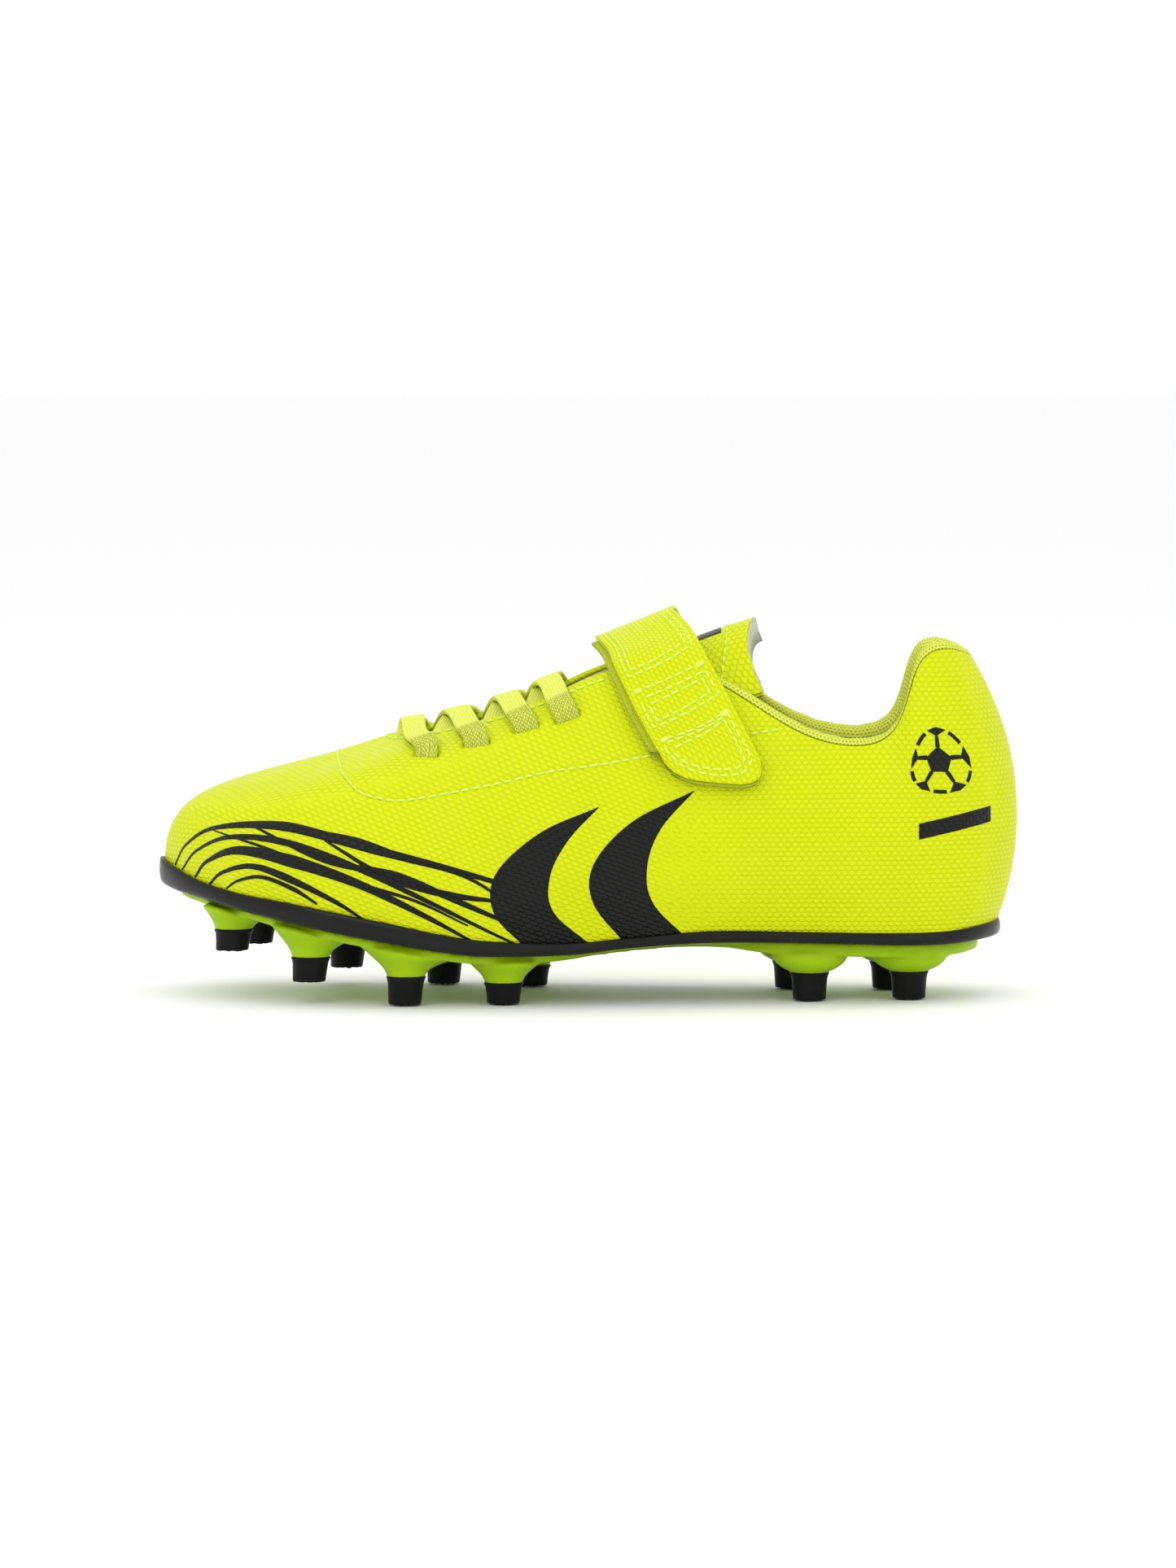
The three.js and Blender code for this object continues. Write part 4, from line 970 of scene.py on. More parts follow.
# ---- Padded collar ----------------------------------------------------------------------------------------
COLLAR_SKIN_OUT = [(0.4, 0.2), (1.7, 0.3), (2.9, 1.4), (3.4, 3.2), (3, 5.2), (1.2, 7.1), (-3, 8), (-9, 7),
                   (-16, 4.6), (-24, 3.8)]
COLLAR_SKIN_IN = [(0.4, 0.9), (1.4, 1), (2.3, 1.9), (2.7, 3.3), (2.4, 4.8), (0.8, 6.4), (-3, 7.2), (-9, 6.2),
                  (-16, 3.8), (-24, 3)]
COLLAR_FOAM_OUT = [(-15, 2.1), (-8, 2.1), (-1, 2), (1, 2.1), (2.1, 3.2)]
COLLAR_FOAM_IN = [(-15, 3.3), (-8, 5.8), (-3, 6.7), (0.4, 5.9), (2, 4.7)]
ACHILLES_PAD = 0.35
COLLAR_FROM, FOAM_FROM = 6.5, 4.5  # ribs from the heel at which the lining and its foam end
COLLAR_THICKNESS = through([(4, 1), (4.75, 0.72), (5.5, 0.1), (6, 0)])
COLLAR_HEIGHT = through([(5.25, 1), (6.5, 0.6)])
EVEN_RIBS = 0.85  # reach, in ribs, over which the padding's inward direction is evened out
LOWER_HS = np.array([0.45, 0.3, 0.15, 0.02])


def collar_points(turns, section, thin, lower_depth=None):
    """Rows of points over the topline for each turn; the last ones may go on down the wall.

    thin is the depth that deeper points close up to where the padding thins out."""
    ribs = np.abs(turns)[:, None] * RIB_COUNT
    padding = 1 + ACHILLES_PAD * np.maximum(0, np.cos(turns * 2 * math.pi))[:, None] ** 8
    distance, depth = np.array(section).T
    depth = np.where(depth > 1.9, 1.9 + (depth - 1.9)[None] * padding, depth[None])
    depth = np.where(depth > thin, thin + (depth - thin) * COLLAR_THICKNESS(ribs), depth)
    distance = np.where(distance > 0, distance[None] * COLLAR_HEIGHT(ribs), distance[None])
    grid = np.broadcast_to(turns[:, None], depth.shape)
    h = 1 + distance / rib_length(grid)
    inward = unit(sum(wall_inward(grid + shift / RIB_COUNT, h) for shift in (-EVEN_RIBS, 0, EVEN_RIBS)))
    rows = wall_face(grid, h) + inward * depth[..., None]
    if lower_depth is not None:
        more = np.broadcast_to(turns[:, None], (len(turns), len(LOWER_HS)))
        rows = np.concatenate([rows, wall(more, LOWER_HS[None], np.full(more.shape, lower_depth))], 1)
    return rows


def closed_pair(name, outer, inner, fine_out, fine_in):
    """A body between two sheets of rows, each made finer by a spline down its rows."""
    outer, inner = (smooth_rows(np.swapaxes(rows, 0, 1))[0](shares)
                    for rows, shares in ((outer, fine_out), (inner, fine_in)))
    loops = np.concatenate([outer, inner[::-1]], 0).swapaxes(0, 1)
    return loft(name, loops, surface_uvs(loops))


def add_collar():
    turns = np.linspace(-COLLAR_FROM, COLLAR_FROM, 340) / RIB_COUNT
    top, down = np.linspace(0, 0.42, 60), np.linspace(0.42, 1, 40)[1:]
    shares = np.concatenate([top, down])
    outer = collar_points(turns, COLLAR_SKIN_OUT, LINING[1], LINING[1])
    inner = collar_points(turns, COLLAR_SKIN_IN, LINING[0], LINING[0])
    angle = turns * 2 * math.pi
    pucker = 0.12 * np.sin(angle * 61) * np.sin(angle * 17 + 1)
    outer[:, 2:5, 2] += pucker[:, None]
    skin = closed_pair("collar_lining", outer, inner, shares, shares)
    finish_piece(skin, "mesh", "boot", ["quarter_lining"])
    foam_shares = np.linspace(0, 1, 30)
    foam_turns = np.linspace(-FOAM_FROM, FOAM_FROM, 240) / RIB_COUNT
    foam_sides = [collar_points(foam_turns, side, LINING[0] - GAP)
                  for side in (COLLAR_FOAM_OUT, COLLAR_FOAM_IN)]
    foam = closed_pair("collar_padding", *foam_sides, foam_shares, foam_shares)
    finish_piece(foam, "foam", "boot", ["collar_foam"])


# ---- Foot bed ---------------------------------------------------------------------------------------------
BOARD_THICK, FOAM_THICK, COVER_THICK, BED_INSET = 1.6, 3.8, 0.8, 5.6
BED_CUP = 1.3


def sole_ring(turns, inset, height):
    """A ring of points in from the foot of the upper."""
    xy = foot_at(turns)
    xy = xy - outline_normal(turns) * np.broadcast_to(inset(xy[:, 0]) if callable(inset) else inset,
                                                      len(xy))[:, None]
    return np.concatenate([xy, height(xy[:, 0])[:, None]], 1)


def bed_sheet(name, bottom, thick, cup):
    """A foot-shaped sheet. cup is how far its edge turns up."""
    turns = np.linspace(0.004, 0.496, 220)

    def surface(u, v, depth):
        ends = []
        for side in (u, 1 - u):
            xy = foot_at(side) - outline_normal(side) * BED_INSET
            ends.append(xy)
        share = np.clip(v, 0, 1)[..., None]
        xy = ends[0] + (ends[1] - ends[0]) * share
        width = np.linalg.norm(ends[1] - ends[0], axis=-1)
        edge = np.minimum(np.clip(v, 0, 1), 1 - np.clip(v, 0, 1)) * width
        rise = cup * np.exp(-(edge / 4.5) ** 2)
        z = bottom(xy[..., 0]) + thick / 2 + rise - depth
        return np.concatenate([xy, z[..., None]], -1)

    return sheet(name, surface, turns, np.linspace(0, 1, 60), -thick / 2, thick / 2, 0.0)


def add_foot_bed():
    board = bed_sheet("lasting_board", lambda x: tray_at(x) + GAP, BOARD_THICK, 0.0)
    finish_piece(board, "board", "boot", ["insole_board"])
    foam_bottom = lambda x: tray_at(x) + 2 * GAP + BOARD_THICK
    foam = bed_sheet("sockliner_padding", foam_bottom, FOAM_THICK, BED_CUP)
    finish_piece(foam, "foam", "boot", ["sockliner_foam"])
    cover = bed_sheet("sockliner_top", lambda x: foam_bottom(x) + FOAM_THICK + GAP, COVER_THICK, BED_CUP)
    finish_piece(cover, "bed", "boot", ["sockliner_cover"])


# ---- Outsole ----------------------------------------------------------------------------------------------
PLATE_INSET = through([(-110, 4), (-60, 3), (-30, 3), (-8, 7), (8, 17), (30, 17), (46, 6), (60, 3.5),
                       (110, 5)])
PLATE_THICK = through([(-110, 1.6), (-60, 2.2), (8, 2), (30, 2), (48, 3.2), (110, 3.2)])
# Each stud: centre x, centre y, ground height, tip height, flare length and width at the plate, and the
# lean of its tip in x (forward is negative) for each millimetre down.
STUDS = {
    "lateral_1": (-90, -10, 11.9, 5.4, 8, 7, 0.1),
    "lateral_2": (-70, -23, 5.2, 6.2, 10, 8, 0.08),
    "lateral_3": (-45.8, -28.5, 0, 7, 12, 8.5, 0.05),
    "lateral_4": (-21.2, -26, 0, 5.2, 9.5, 8, 0.02),
    "medial_1": (-85, 19, 11, 5.6, 9, 7.5, 0.1),
    "medial_2": (-62, 27, 4, 6.4, 10, 8, 0.08),
    "medial_3": (-37, 26, 0, 6.8, 10.5, 8.5, 0.05),
    "medial_4": (-14.5, 20, 0, 5.2, 9, 7.5, 0.02),
    "heel_lateral_1": (56.3, -16.5, 0, 7, 9.5, 8, 0),
    "heel_lateral_2": (81.7, -13, 0, 7, 9.5, 8, 0),
    "heel_medial_1": (52.5, 13.5, 0, 7, 9.5, 8, 0),
    "heel_medial_2": (77.5, 12, 0, 7, 9.5, 8, 0),
}
SEAT_RADIUS = 4.9
WEAR_DEPTH = 0.9  # height of the ragged edge round a worn tip
PLATE_VOXEL = 0.6


def plate_top(x):
    return rim_bottom_at(x) - GAP


def plate_bottom(x):
    return plate_top(x) - PLATE_THICK(x)


def round_ring(cx, cy, rx, ry, height, count=48):
    angles = np.linspace(0, 2 * math.pi, count, endpoint=False)
    x = cx + rx * np.cos(angles)
    return np.stack([x, cy + ry * np.sin(angles), height(x)], 1)


def stud_bell(cx, cy, ground, tip, flare_x, flare_y, bowl):
    """Rings of a stud's base. bowl bases have full, rounded sides; the others are funnels."""
    seat = ground + tip + GAP
    rings = [round_ring(cx, cy, SEAT_RADIUS * 0.9, SEAT_RADIUS * 0.9, lambda x: np.full_like(x, seat - 0.5))]
    for share in np.linspace(0, 1, 16):
        if bowl:
            grow = math.sin(min(share * 1.25, 1) * math.pi / 2) ** 0.8 * 0.94 + 0.06 * share
        else:
            grow = 0.72 * share ** 1.9 + 0.28 * math.sin(share * math.pi / 2) ** 2
        rx, ry = (SEAT_RADIUS + (flare - SEAT_RADIUS) * grow for flare in (flare_x, flare_y))
        rings.append(round_ring(cx, cy, rx, ry, lambda x: seat + (plate_bottom(x) + 0.2 - seat) * share))
    inner = [flare_x * 0.85, flare_y * 0.85]
    rings.append(round_ring(cx, cy, *inner, lambda x: plate_bottom(x) * 0.4 + plate_top(x) * 0.6))
    return np.array(rings)


def stud_tip(rng, cx, cy, ground, tip, lean):
    """Rings of a worn stud tip with a flared skirt, a slight taper and a ragged end."""
    around = 64
    angles = np.linspace(0, 2 * math.pi, around, endpoint=False)
    profile = [(3.2, 0.55), (3.75, 0.15), (3.95, 0.0), (4.12, 0.25), (4.2, 0.8), (4.25, 1.6), (4.32, 2.6),
               (4.42, tip * 0.6), (4.55, tip * 0.8), (4.8, tip * 0.93), (5.05, tip), (4.6, tip + 0.6)]
    ragged = rng.uniform(0, 1, around)
    ragged = np.convolve(np.tile(ragged, 3), [0.2, 0.6, 0.2], "same")[around:2 * around]
    rings = [np.stack([np.full(around, cx + lean * -tip) + 0.05 * np.cos(angles), cy + 0.05 * np.sin(angles),
                       np.full(around, ground + 0.6)], 1)]
    for row, (radius, height) in enumerate(profile):
        wear = max(0, 1 - row / 4)
        r = radius + (ragged - 0.5) * 0.7 * wear
        z = ground + height + ragged * WEAR_DEPTH * wear * (height < 0.5)
        x = cx + r * np.cos(angles) - lean * (tip - height)
        rings.append(np.stack([x, cy + r * np.sin(angles), np.broadcast_to(z, around)], 1))
    return np.array(rings)


def join_and_remesh(name, bodies, voxel, smooth_rounds):
    """One moulded body with filleted joins from overlapping closed bodies."""
    rough = merged(name + "_rough", bodies)
    for kind, values in (("REMESH", {"mode": "VOXEL", "voxel_size": voxel * MM}),
                         ("SMOOTH", {"factor": 0.5, "iterations": smooth_rounds})):
        modifier = rough.modifiers.new(kind.lower(), kind)
        for key, value in values.items():
            setattr(modifier, key, value)
    view = bpy.context.evaluated_depsgraph_get()
    mesh = bpy.data.meshes.new_from_object(rough.evaluated_get(view))
    bpy.data.objects.remove(rough)
    mesh.name = name
    mesh.polygons.foreach_set("use_smooth", [True] * len(mesh.polygons))
    obj = bpy.data.objects.new(name, mesh)
    bpy.context.scene.collection.objects.link(obj)
    return obj


WAIST_RIB_YS = (-7, 0, 7)
BALL_RING_RADII = (7, 11.5)
BALL_RING_X = -52
PLATE_RIB_RADIUS = 0.9


def plate_ribs():
    """Raised ribs down the waist of the plate and round the ball of the foot."""
    paths = []
    for y in WAIST_RIB_YS:
        x = np.linspace(-12, 46, 40)
        middle = y * (1 - 0.35 * np.exp(-((x - 17) / 16) ** 2)) - 2.5 * np.exp(-((x - 5) / 25) ** 2)
        paths.append(np.stack([x, middle, plate_bottom(x) + 0.1], 1))
    for radius in BALL_RING_RADII:
        angle = np.linspace(0, 2 * math.pi, 60)
        x = BALL_RING_X + radius * 1.25 * np.cos(angle)
        paths.append(np.stack([x, 1 + radius * np.sin(angle), plate_bottom(x) + 0.1], 1))
    bodies = []
    for path in paths:
        side = np.cross(unit(np.gradient(path, axis=0)), [0, 0, 1.0])
        bodies.append(tube_along(path, side, np.full(len(path), PLATE_RIB_RADIUS),
                                 np.full(len(path), PLATE_RIB_RADIUS), 10))
    return bodies


def add_outsole():
    turns = np.arange(SHELL_TURNS) / SHELL_TURNS
    top, bottom = rim_top_at, rim_bottom_at
    profile = [
        (0.6, lambda x: bottom(x)),
        (-0.1, lambda x: bottom(x)),
        (-0.65, lambda x: bottom(x) + 0.22),
        (-1.05, lambda x: bottom(x) + 0.7),
        (-1.35, lambda x: bottom(x) * 0.7 + top(x) * 0.3),
        (-1.45, lambda x: (bottom(x) + top(x)) / 2),
        (-1.38, lambda x: bottom(x) * 0.28 + top(x) * 0.72),
        (-1.2, lambda x: top(x) - 0.45),
        (-0.95, lambda x: top(x) - 0.1),
        (-0.65, lambda x: top(x) + 0.02),
        (-0.3, lambda x: top(x) - 0.12),
        (-0.22, lambda x: tray_at(x)),
    ]
    rings = np.array([sole_ring(turns, lambda x: inset * rim_proud_at(x), height)
                      for inset, height in profile])
    frame_piece = loft("outsole_rim", rings)
    finish_piece(frame_piece, "rim", "boot", ["outsole_frame"])
    plate = np.array([
        sole_ring(turns, lambda x: PLATE_INSET(x) + 0.9, plate_bottom),
        sole_ring(turns, lambda x: PLATE_INSET(x) + 0.3, lambda x: plate_bottom(x) + 0.25),
        sole_ring(turns, PLATE_INSET, lambda x: plate_bottom(x) + 0.9),
        sole_ring(turns, PLATE_INSET, lambda x: plate_top(x) + 0.25),
    ])
    bells = [stud_bell(*stud[:6], name.startswith("heel")) for name, stud in STUDS.items()]
    green = join_and_remesh("stud_plate_moulding", [plate] + bells + plate_ribs(), PLATE_VOXEL, 6)
    finish_piece(green, "green", "boot", ["stud_plate"])
    rng = np.random.default_rng(7)
    for name, stud in STUDS.items():
        tip = merged(f"stud_cap_{name}", [stud_tip(rng, *stud[:4], stud[6])])
        finish_piece(tip, "stud", "boot", [f"stud_tip_{name}"])


# ---- Elastic lacing ---------------------------------------------------------------------------------------
LACE_RIDGES = 7
LACE_OVER, LACE_UNDER = 0.75, -0.55  # how far the two runs of a crossing part at its middle


def lace_run(index, medial, over):
    """Sections of one run, from its slot over the throat to the far edge."""
    middle, _, up, inward = slot_frame(index, medial)
    station = LACE_STATIONS[index] - LACE_LEAN
    edge_turn = lace_turn(station, medial)
    landing = lace_turn(max(station - LACE_CROSS_LEAN, THROAT_END), not medial)
    edge = past_topline(edge_turn, 0.3, np.array(-LACE_LIFT))
    half_way = (middle + edge) / 2
    crown = (edge + past_topline(landing, 0.0, np.array(0.0))) / 2 + [0, 0, LACE_CROWN + over]
    path = np.array([
        middle - up * 0.9 + inward * 1.1,
        middle + up * 1.5 - inward * LACE_LIFT,
        wall_at(half_way[0], half_way[2], np.array(-LACE_LIFT - 0.1), medial),
        edge,
        crown,
        past_topline(landing, -2.2, np.array(2.2)),
    ])
    curve, _ = smooth_rows(path)
    shares = np.linspace(0, 1, 110)
    line = curve(shares)
    along = unit(np.gradient(line, axis=0))
    start, end = topline_tangent(edge_turn), -topline_tangent(landing)
    side = unit(start + (end - start) * shares[:, None])
    side = unit(side - (side * along).sum(-1, keepdims=True) * along)
    out = np.cross(side, along)
    out = out * np.where((out * -inward).sum(-1)[:1] < 0, -1, 1)[:, None]
    section = np.array(round_section(list(np.linspace(-1, 1, 71)), -LACE_THICK / 2, LACE_THICK / 2, 0.06, 5))
    v, depth = section.T
    ridge = 0.13 * np.cos(v * math.pi * LACE_RIDGES) * np.sign(-depth) * (np.abs(v) <= 1)
    stretch = 1 + 0.05 * np.sin(shares * math.pi)
    half = LACE_WIDTH / 2 / stretch
    points = line[:, None] + side[:, None] * (v[None, :] * half[:, None])[..., None]
    return points + out[:, None] * (ridge - depth)[None, :, None]


def add_laces():
    for index in range(len(LACE_STATIONS)):
        runs = [lace_run(index, False, LACE_OVER), lace_run(index, True, LACE_UNDER)]
        uvs = np.concatenate([surface_uvs(run).reshape(-1, 2) for run in runs])
        points, faces, base = [], [], 0
        for run in runs:
            faces += [[base + c for c in face] for face in tube_faces(*run.shape[:2], False)]
            points.append(run.reshape(-1, 3))
            base += run.shape[0] * run.shape[1]
        lace = make_object(f"elastic_crossing_{index + 1}", np.concatenate(points), faces, uvs)
        finish_piece(lace, "elastic", "boot", [f"elastic_lace_{index + 1}"])


# ---- Tongue -----------------------------------------------------------------------------------------------
TONGUE_TOP = through([(-52, 60.6), (-40, 65.6), (-27, 69.6), (-15, 73.8), (-5, 77.4), (6, 82), (27, 91),
                      (36, 94.4), (44.6, 97)])
TONGUE_HALF = through([(-52, 12), (-40, 14), (-27, 16), (0, 17.5), (20, 17.8), (32, 17.2), (44.6, 17)])
TONGUE_DROP = through([(-52, 2.5), (-40, 4.6), (-27, 6.2), (0, 8.6), (20, 12), (32, 15), (42, 18.5)])
TONGUE_MIDDLE = through([(-52, 3.6), (0, 1.6), (42, 0)])
TONGUE_FOAM = through([(-52, 1.4), (-40, 2.4), (-10, 3.6), (30, 4.8), (42, 4.2)])
TONGUE_FOAM_START, TONGUE_LINING_THICK = 1.2, 0.7
TONGUE_START = -52
# The x of the tongue's free end, from its middle (0) to its edges (1).
TONGUE_END = through([(0, 42.6), (0.3, 41), (0.6, 40.6), (0.85, 42.4), (1, 44.4)])
TONGUE_ROW = 35.6  # x of the row of stitches near the free end


def tongue_surface(x, v, depth):
    top, half, drop = TONGUE_TOP(x), TONGUE_HALF(x), TONGUE_DROP(x)
    slope = (TONGUE_TOP(x + 1) - TONGUE_TOP(x - 1)) / 2
    down = unit(np.stack([slope, -v * drop * 2 / half, -np.ones_like(slope)], -1))
    point = np.stack([x, TONGUE_MIDDLE(x) + v * half, top - drop * v * v], -1)
    return point + down * depth[..., None]


def tongue_x(share, v):
    return TONGUE_START + (TONGUE_END(np.abs(v)) - TONGUE_START) * share


def tongue_at(share, v, depth):
    """The tongue's surface from its start, share 0, to its free end, share 1."""
    return tongue_surface(tongue_x(share, v), v, depth)


def tongue_edge(v):
    """Share of the full thickness left across the tongue, thin at its sides."""
    return np.sqrt(np.clip(1 - np.abs(v) ** 6, 0, 1)) * 0.8 + 0.2


def add_tongue():
    shares = np.linspace(0, 1, 190)
    vs = np.linspace(-1, 1, 90)
    face = sheet("tongue_skin", tongue_at, shares, vs, 0.0, 1.0, 0.02)
    finish_piece(face, "strap", "tongue", ["tongue_face"])

    def foam_surface(share, v, depth):
        thick = TONGUE_FOAM(tongue_x(share, v)) * tongue_edge(v)
        return tongue_at(share, v * 0.985, TONGUE_FOAM_START + depth * thick)

    foam = sheet("tongue_padding", foam_surface, shares, vs, 0.0, 1.0, 0.0)
    finish_piece(foam, "foam", "tongue", ["tongue_foam"])

    def lining_surface(share, v, depth):
        thick = TONGUE_FOAM(tongue_x(share, v)) * tongue_edge(v)
        return tongue_at(share, v, TONGUE_FOAM_START + 0.3 + thick + depth)

    lining = sheet("tongue_knit", lining_surface, shares, vs, 0.0, TONGUE_LINING_THICK, 0.02)
    finish_piece(lining, "mesh", "tongue", ["tongue_lining"])

    def end_surface(share, v, depth):
        full = TONGUE_FOAM_START + 0.3 + TONGUE_FOAM(tongue_x(share, v)) + TONGUE_LINING_THICK
        return tongue_at(share, v * 0.99, 0.1 + depth * (full * tongue_edge(v) - 0.1))

    tape = sheet("tongue_end_tape", end_surface, np.linspace(0.998, 1.003, 6), vs, 0.0, 1.0, 0.0)
    finish_piece(tape, "edge", "tongue")
    v = np.linspace(-0.93, 0.93, 90)
    x = TONGUE_ROW - 2.2 * v * v
    path = tongue_surface(x, v, np.full_like(v, -0.02))
    outward = path - tongue_surface(x, v, np.full_like(v, 1.0))
    thread_piece("stitches_tongue", [(path, outward)], "tongue")
    bar = sheet("print_tongue_bar", tongue_surface, np.linspace(-1.5, 34, 60), np.linspace(-0.26, 0.26, 16),
                -0.12, 0.06, 0.0)
    finish_piece(bar, "print", "tongue")


# ---- Strap ------------------------------------------------------------------------------------------------
STRAP_FRONT = open_spline([(2.5, 91.6), (7.3, 83.8), (12.4, 72.8), (17.8, 63.2)])
STRAP_REAR = open_spline([(21.8, 98.9), (29.3, 87.2), (36.2, 74.4), (43.2, 60.8)])
TIP_ROUND = 6.6
FACE_THICK, BACK_THICK = 1.2, 0.8
STRAP_SPLIT = 0.36
ROOT_X, ROOT_Z = (9, 29), 70.5
ANCHOR_LENGTH = 15
WALL_TO_STRAP = 2.6
BACKING_PROUD = -0.075  # the soft backing shows this far past the front edge, as a share of the width
LAP = 1.35  # how far the outer part rises where it is sewn over the inner part


def strap_side(along, across, reach):
    """Side-view places on the outer part: along = 0 on the ridge, 1 where the tip starts to round off."""
    straight = np.minimum(along, 1)
    point = STRAP_FRONT(straight) + (STRAP_REAR(straight) - STRAP_FRONT(straight)) * across[..., None]
    bulge = np.sqrt(np.clip(1 - (2 * np.clip(across, 0, 1) - 1) ** 4, 0, 1)) * reach
    return point + np.array([0.3, -0.95]) * (np.maximum(along - 1, 0) * bulge)[..., None]


LATERAL_ALONG = [STRAP_SPLIT, 0.5, 0.66, 0.82, 1.0, 1.35, 1.7, 2.0]


def strap_rows(across, reach=TIP_ROUND):
    """Rows of points on the underside of the strap's face, from the anchor to the tip."""
    ones = np.ones_like(across)
    root_x = ROOT_X[0] + (ROOT_X[1] - ROOT_X[0]) * across
    rows = [wall_at(root_x - back, (ROOT_Z - drop) * ones, -lift * ones, True)
            for drop, lift, back in ((ANCHOR_LENGTH + 0.6, 0.5, 0), (9.5, 0.5, 0), (4.5, 0.7, 0), (0, 2.2, 0),
                                     (-11.5, 3.3, 2.5))]
    ridge, split = strap_side(0 * ones, across, reach), strap_side(STRAP_SPLIT * ones, across, reach)
    mix = lambda a, b, t: a + (b - a) * t
    rows.append(np.stack([mix(root_x, ridge[:, 0], 0.72), 12.5 * ones, ridge[:, 1] - 2.4 - FACE_THICK], 1))
    rows.append(np.stack([ridge[:, 0], 1.5 * ones, ridge[:, 1] - FACE_THICK], 1))
    rows.append(np.stack([mix(ridge[:, 0], split[:, 0], 0.55), -12.5 * ones,
                          mix(ridge[:, 1], split[:, 1], 0.42)], 1))
    for along in LATERAL_ALONG:
        place = strap_side(along * ones, across, reach)
        rows.append(wall_at(place[:, 0], place[:, 1], -WALL_TO_STRAP * ones))
    return np.array(rows)


def strap_body(name, first, last, across, outer, inner, lift=None, reach=TIP_ROUND, samples=130):
    """A part of the strap between two shares of its length. outer and inner are depths under its face."""
    section = np.array(round_section(list(np.linspace(*across, 40)), outer, inner, 0.012))
    rows = strap_rows(section[:, 0], reach)
    curve, knots = smooth_rows(rows)
    shares = np.linspace(first(knots), last(knots), samples)
    points = curve(shares)
    tip = knots[-4]
    flat = np.minimum(shares, tip)
    along = curve(flat + 0.004) - curve(flat - 0.004)
    left, right = beside_on_strap(flat, section[:, 0])
    out = unit(np.cross(unit(along), unit(right - left)))
    depth = np.broadcast_to(section[:, 1], points.shape[:2]).copy()
    if lift is not None:
        depth = depth - lift(shares, knots)[:, None]
    points = points - out * depth[..., None]
    return loft(name, points, surface_uvs(points))


STRAP_GRID = np.linspace(-0.1, 1.1, 49)
STRAP_CURVE, STRAP_KNOTS = smooth_rows(strap_rows(STRAP_GRID))


def beside_on_strap(shares, across):
    """Points just to the left and right of each place, for its direction across."""
    grid = STRAP_CURVE(shares)
    ends = []
    for shift in (-0.02, 0.02):
        at = np.clip((across + shift - STRAP_GRID[0]) / (STRAP_GRID[1] - STRAP_GRID[0]),
                     0, len(STRAP_GRID) - 1.001)
        i = at.astype(int)
        w = (at - i)[None, :, None]
        ends.append(grid[:, i] * (1 - w) + grid[:, i + 1] * w)
    return ends


SPLIT_ROW, TIP_ROW, LAP_ROW, RIDGE_ROW, ROOT_ROW = 8, 12, 5, 6, 3


def strap_place(share, across):
    """One point on the strap's face and the outward direction there."""
    share, across = np.atleast_1d(share), np.atleast_1d(across)
    grid = STRAP_CURVE(share)
    at = np.clip((across - STRAP_GRID[0]) / (STRAP_GRID[1] - STRAP_GRID[0]), 0, len(STRAP_GRID) - 1.001)
    i = at.astype(int)
    w = (at - i)[:, None]
    k = np.arange(len(share))
    point = grid[k, i] * (1 - w) + grid[k, i + 1] * w
    flat = np.minimum(share, STRAP_KNOTS[TIP_ROW])
    near, far = STRAP_CURVE(flat - 0.004), STRAP_CURVE(flat + 0.004)
    along = (far - near)[k, i]
    side = (STRAP_CURVE(flat)[k, np.minimum(i + 1, len(STRAP_GRID) - 1)]
            - STRAP_CURVE(flat)[k, np.maximum(i - 1, 0)])
    return point, unit(np.cross(unit(along), unit(side)))


def lap_lift(shares, knots):
    """Rise of the outer part's start over the end of the inner part."""
    start, end = knots[LAP_ROW], knots[RIDGE_ROW]
    t = np.clip((shares - start) / (end - start), 0, 1)
    return LAP * (1 - t * t * (3 - 2 * t))


def share_of_along(along):
    """Share of the strap's length for a place on its outer part."""
    rows = np.concatenate([[0.0], LATERAL_ALONG])
    knots = np.concatenate([[STRAP_KNOTS[RIDGE_ROW]], STRAP_KNOTS[SPLIT_ROW:]])
    return np.interp(along, rows, knots)


def strap_row(corners, samples=90, lapped=False):
    """A row of stitches on the strap's face through (along, across) corners, with rounded turns."""
    corners = np.array(corners, float)
    lengths = np.linalg.norm(np.diff(corners * [45, 25], axis=0), axis=1)
    at = np.concatenate([[0], np.cumsum(lengths)])
    shares = np.linspace(0, at[-1], samples)
    along, across = (np.interp(shares, at, corners[:, k]) for k in (0, 1))
    share = share_of_along(along)
    point, out = strap_place(share, across)
    lift = FACE_THICK - 0.02 + (lap_lift(share, STRAP_KNOTS) if lapped else 0)
    return point + out * np.broadcast_to(lift, len(point))[:, None], out


def tip_row(inset):
    """A closed row round the tip, inset millimetres from its edge."""
    across = inset / 25
    front, rear = (0.9 + across / 2, across), (0.675 + across / 2, 1 - across)
    reach = 1 - inset / TIP_ROUND * 0.9
    arc = [(1 + reach * math.sin(t * math.pi) ** 0.35, across + (1 - 2 * across) * t)
           for t in np.linspace(0, 1, 9)]
    return [front] + arc + [rear, front]


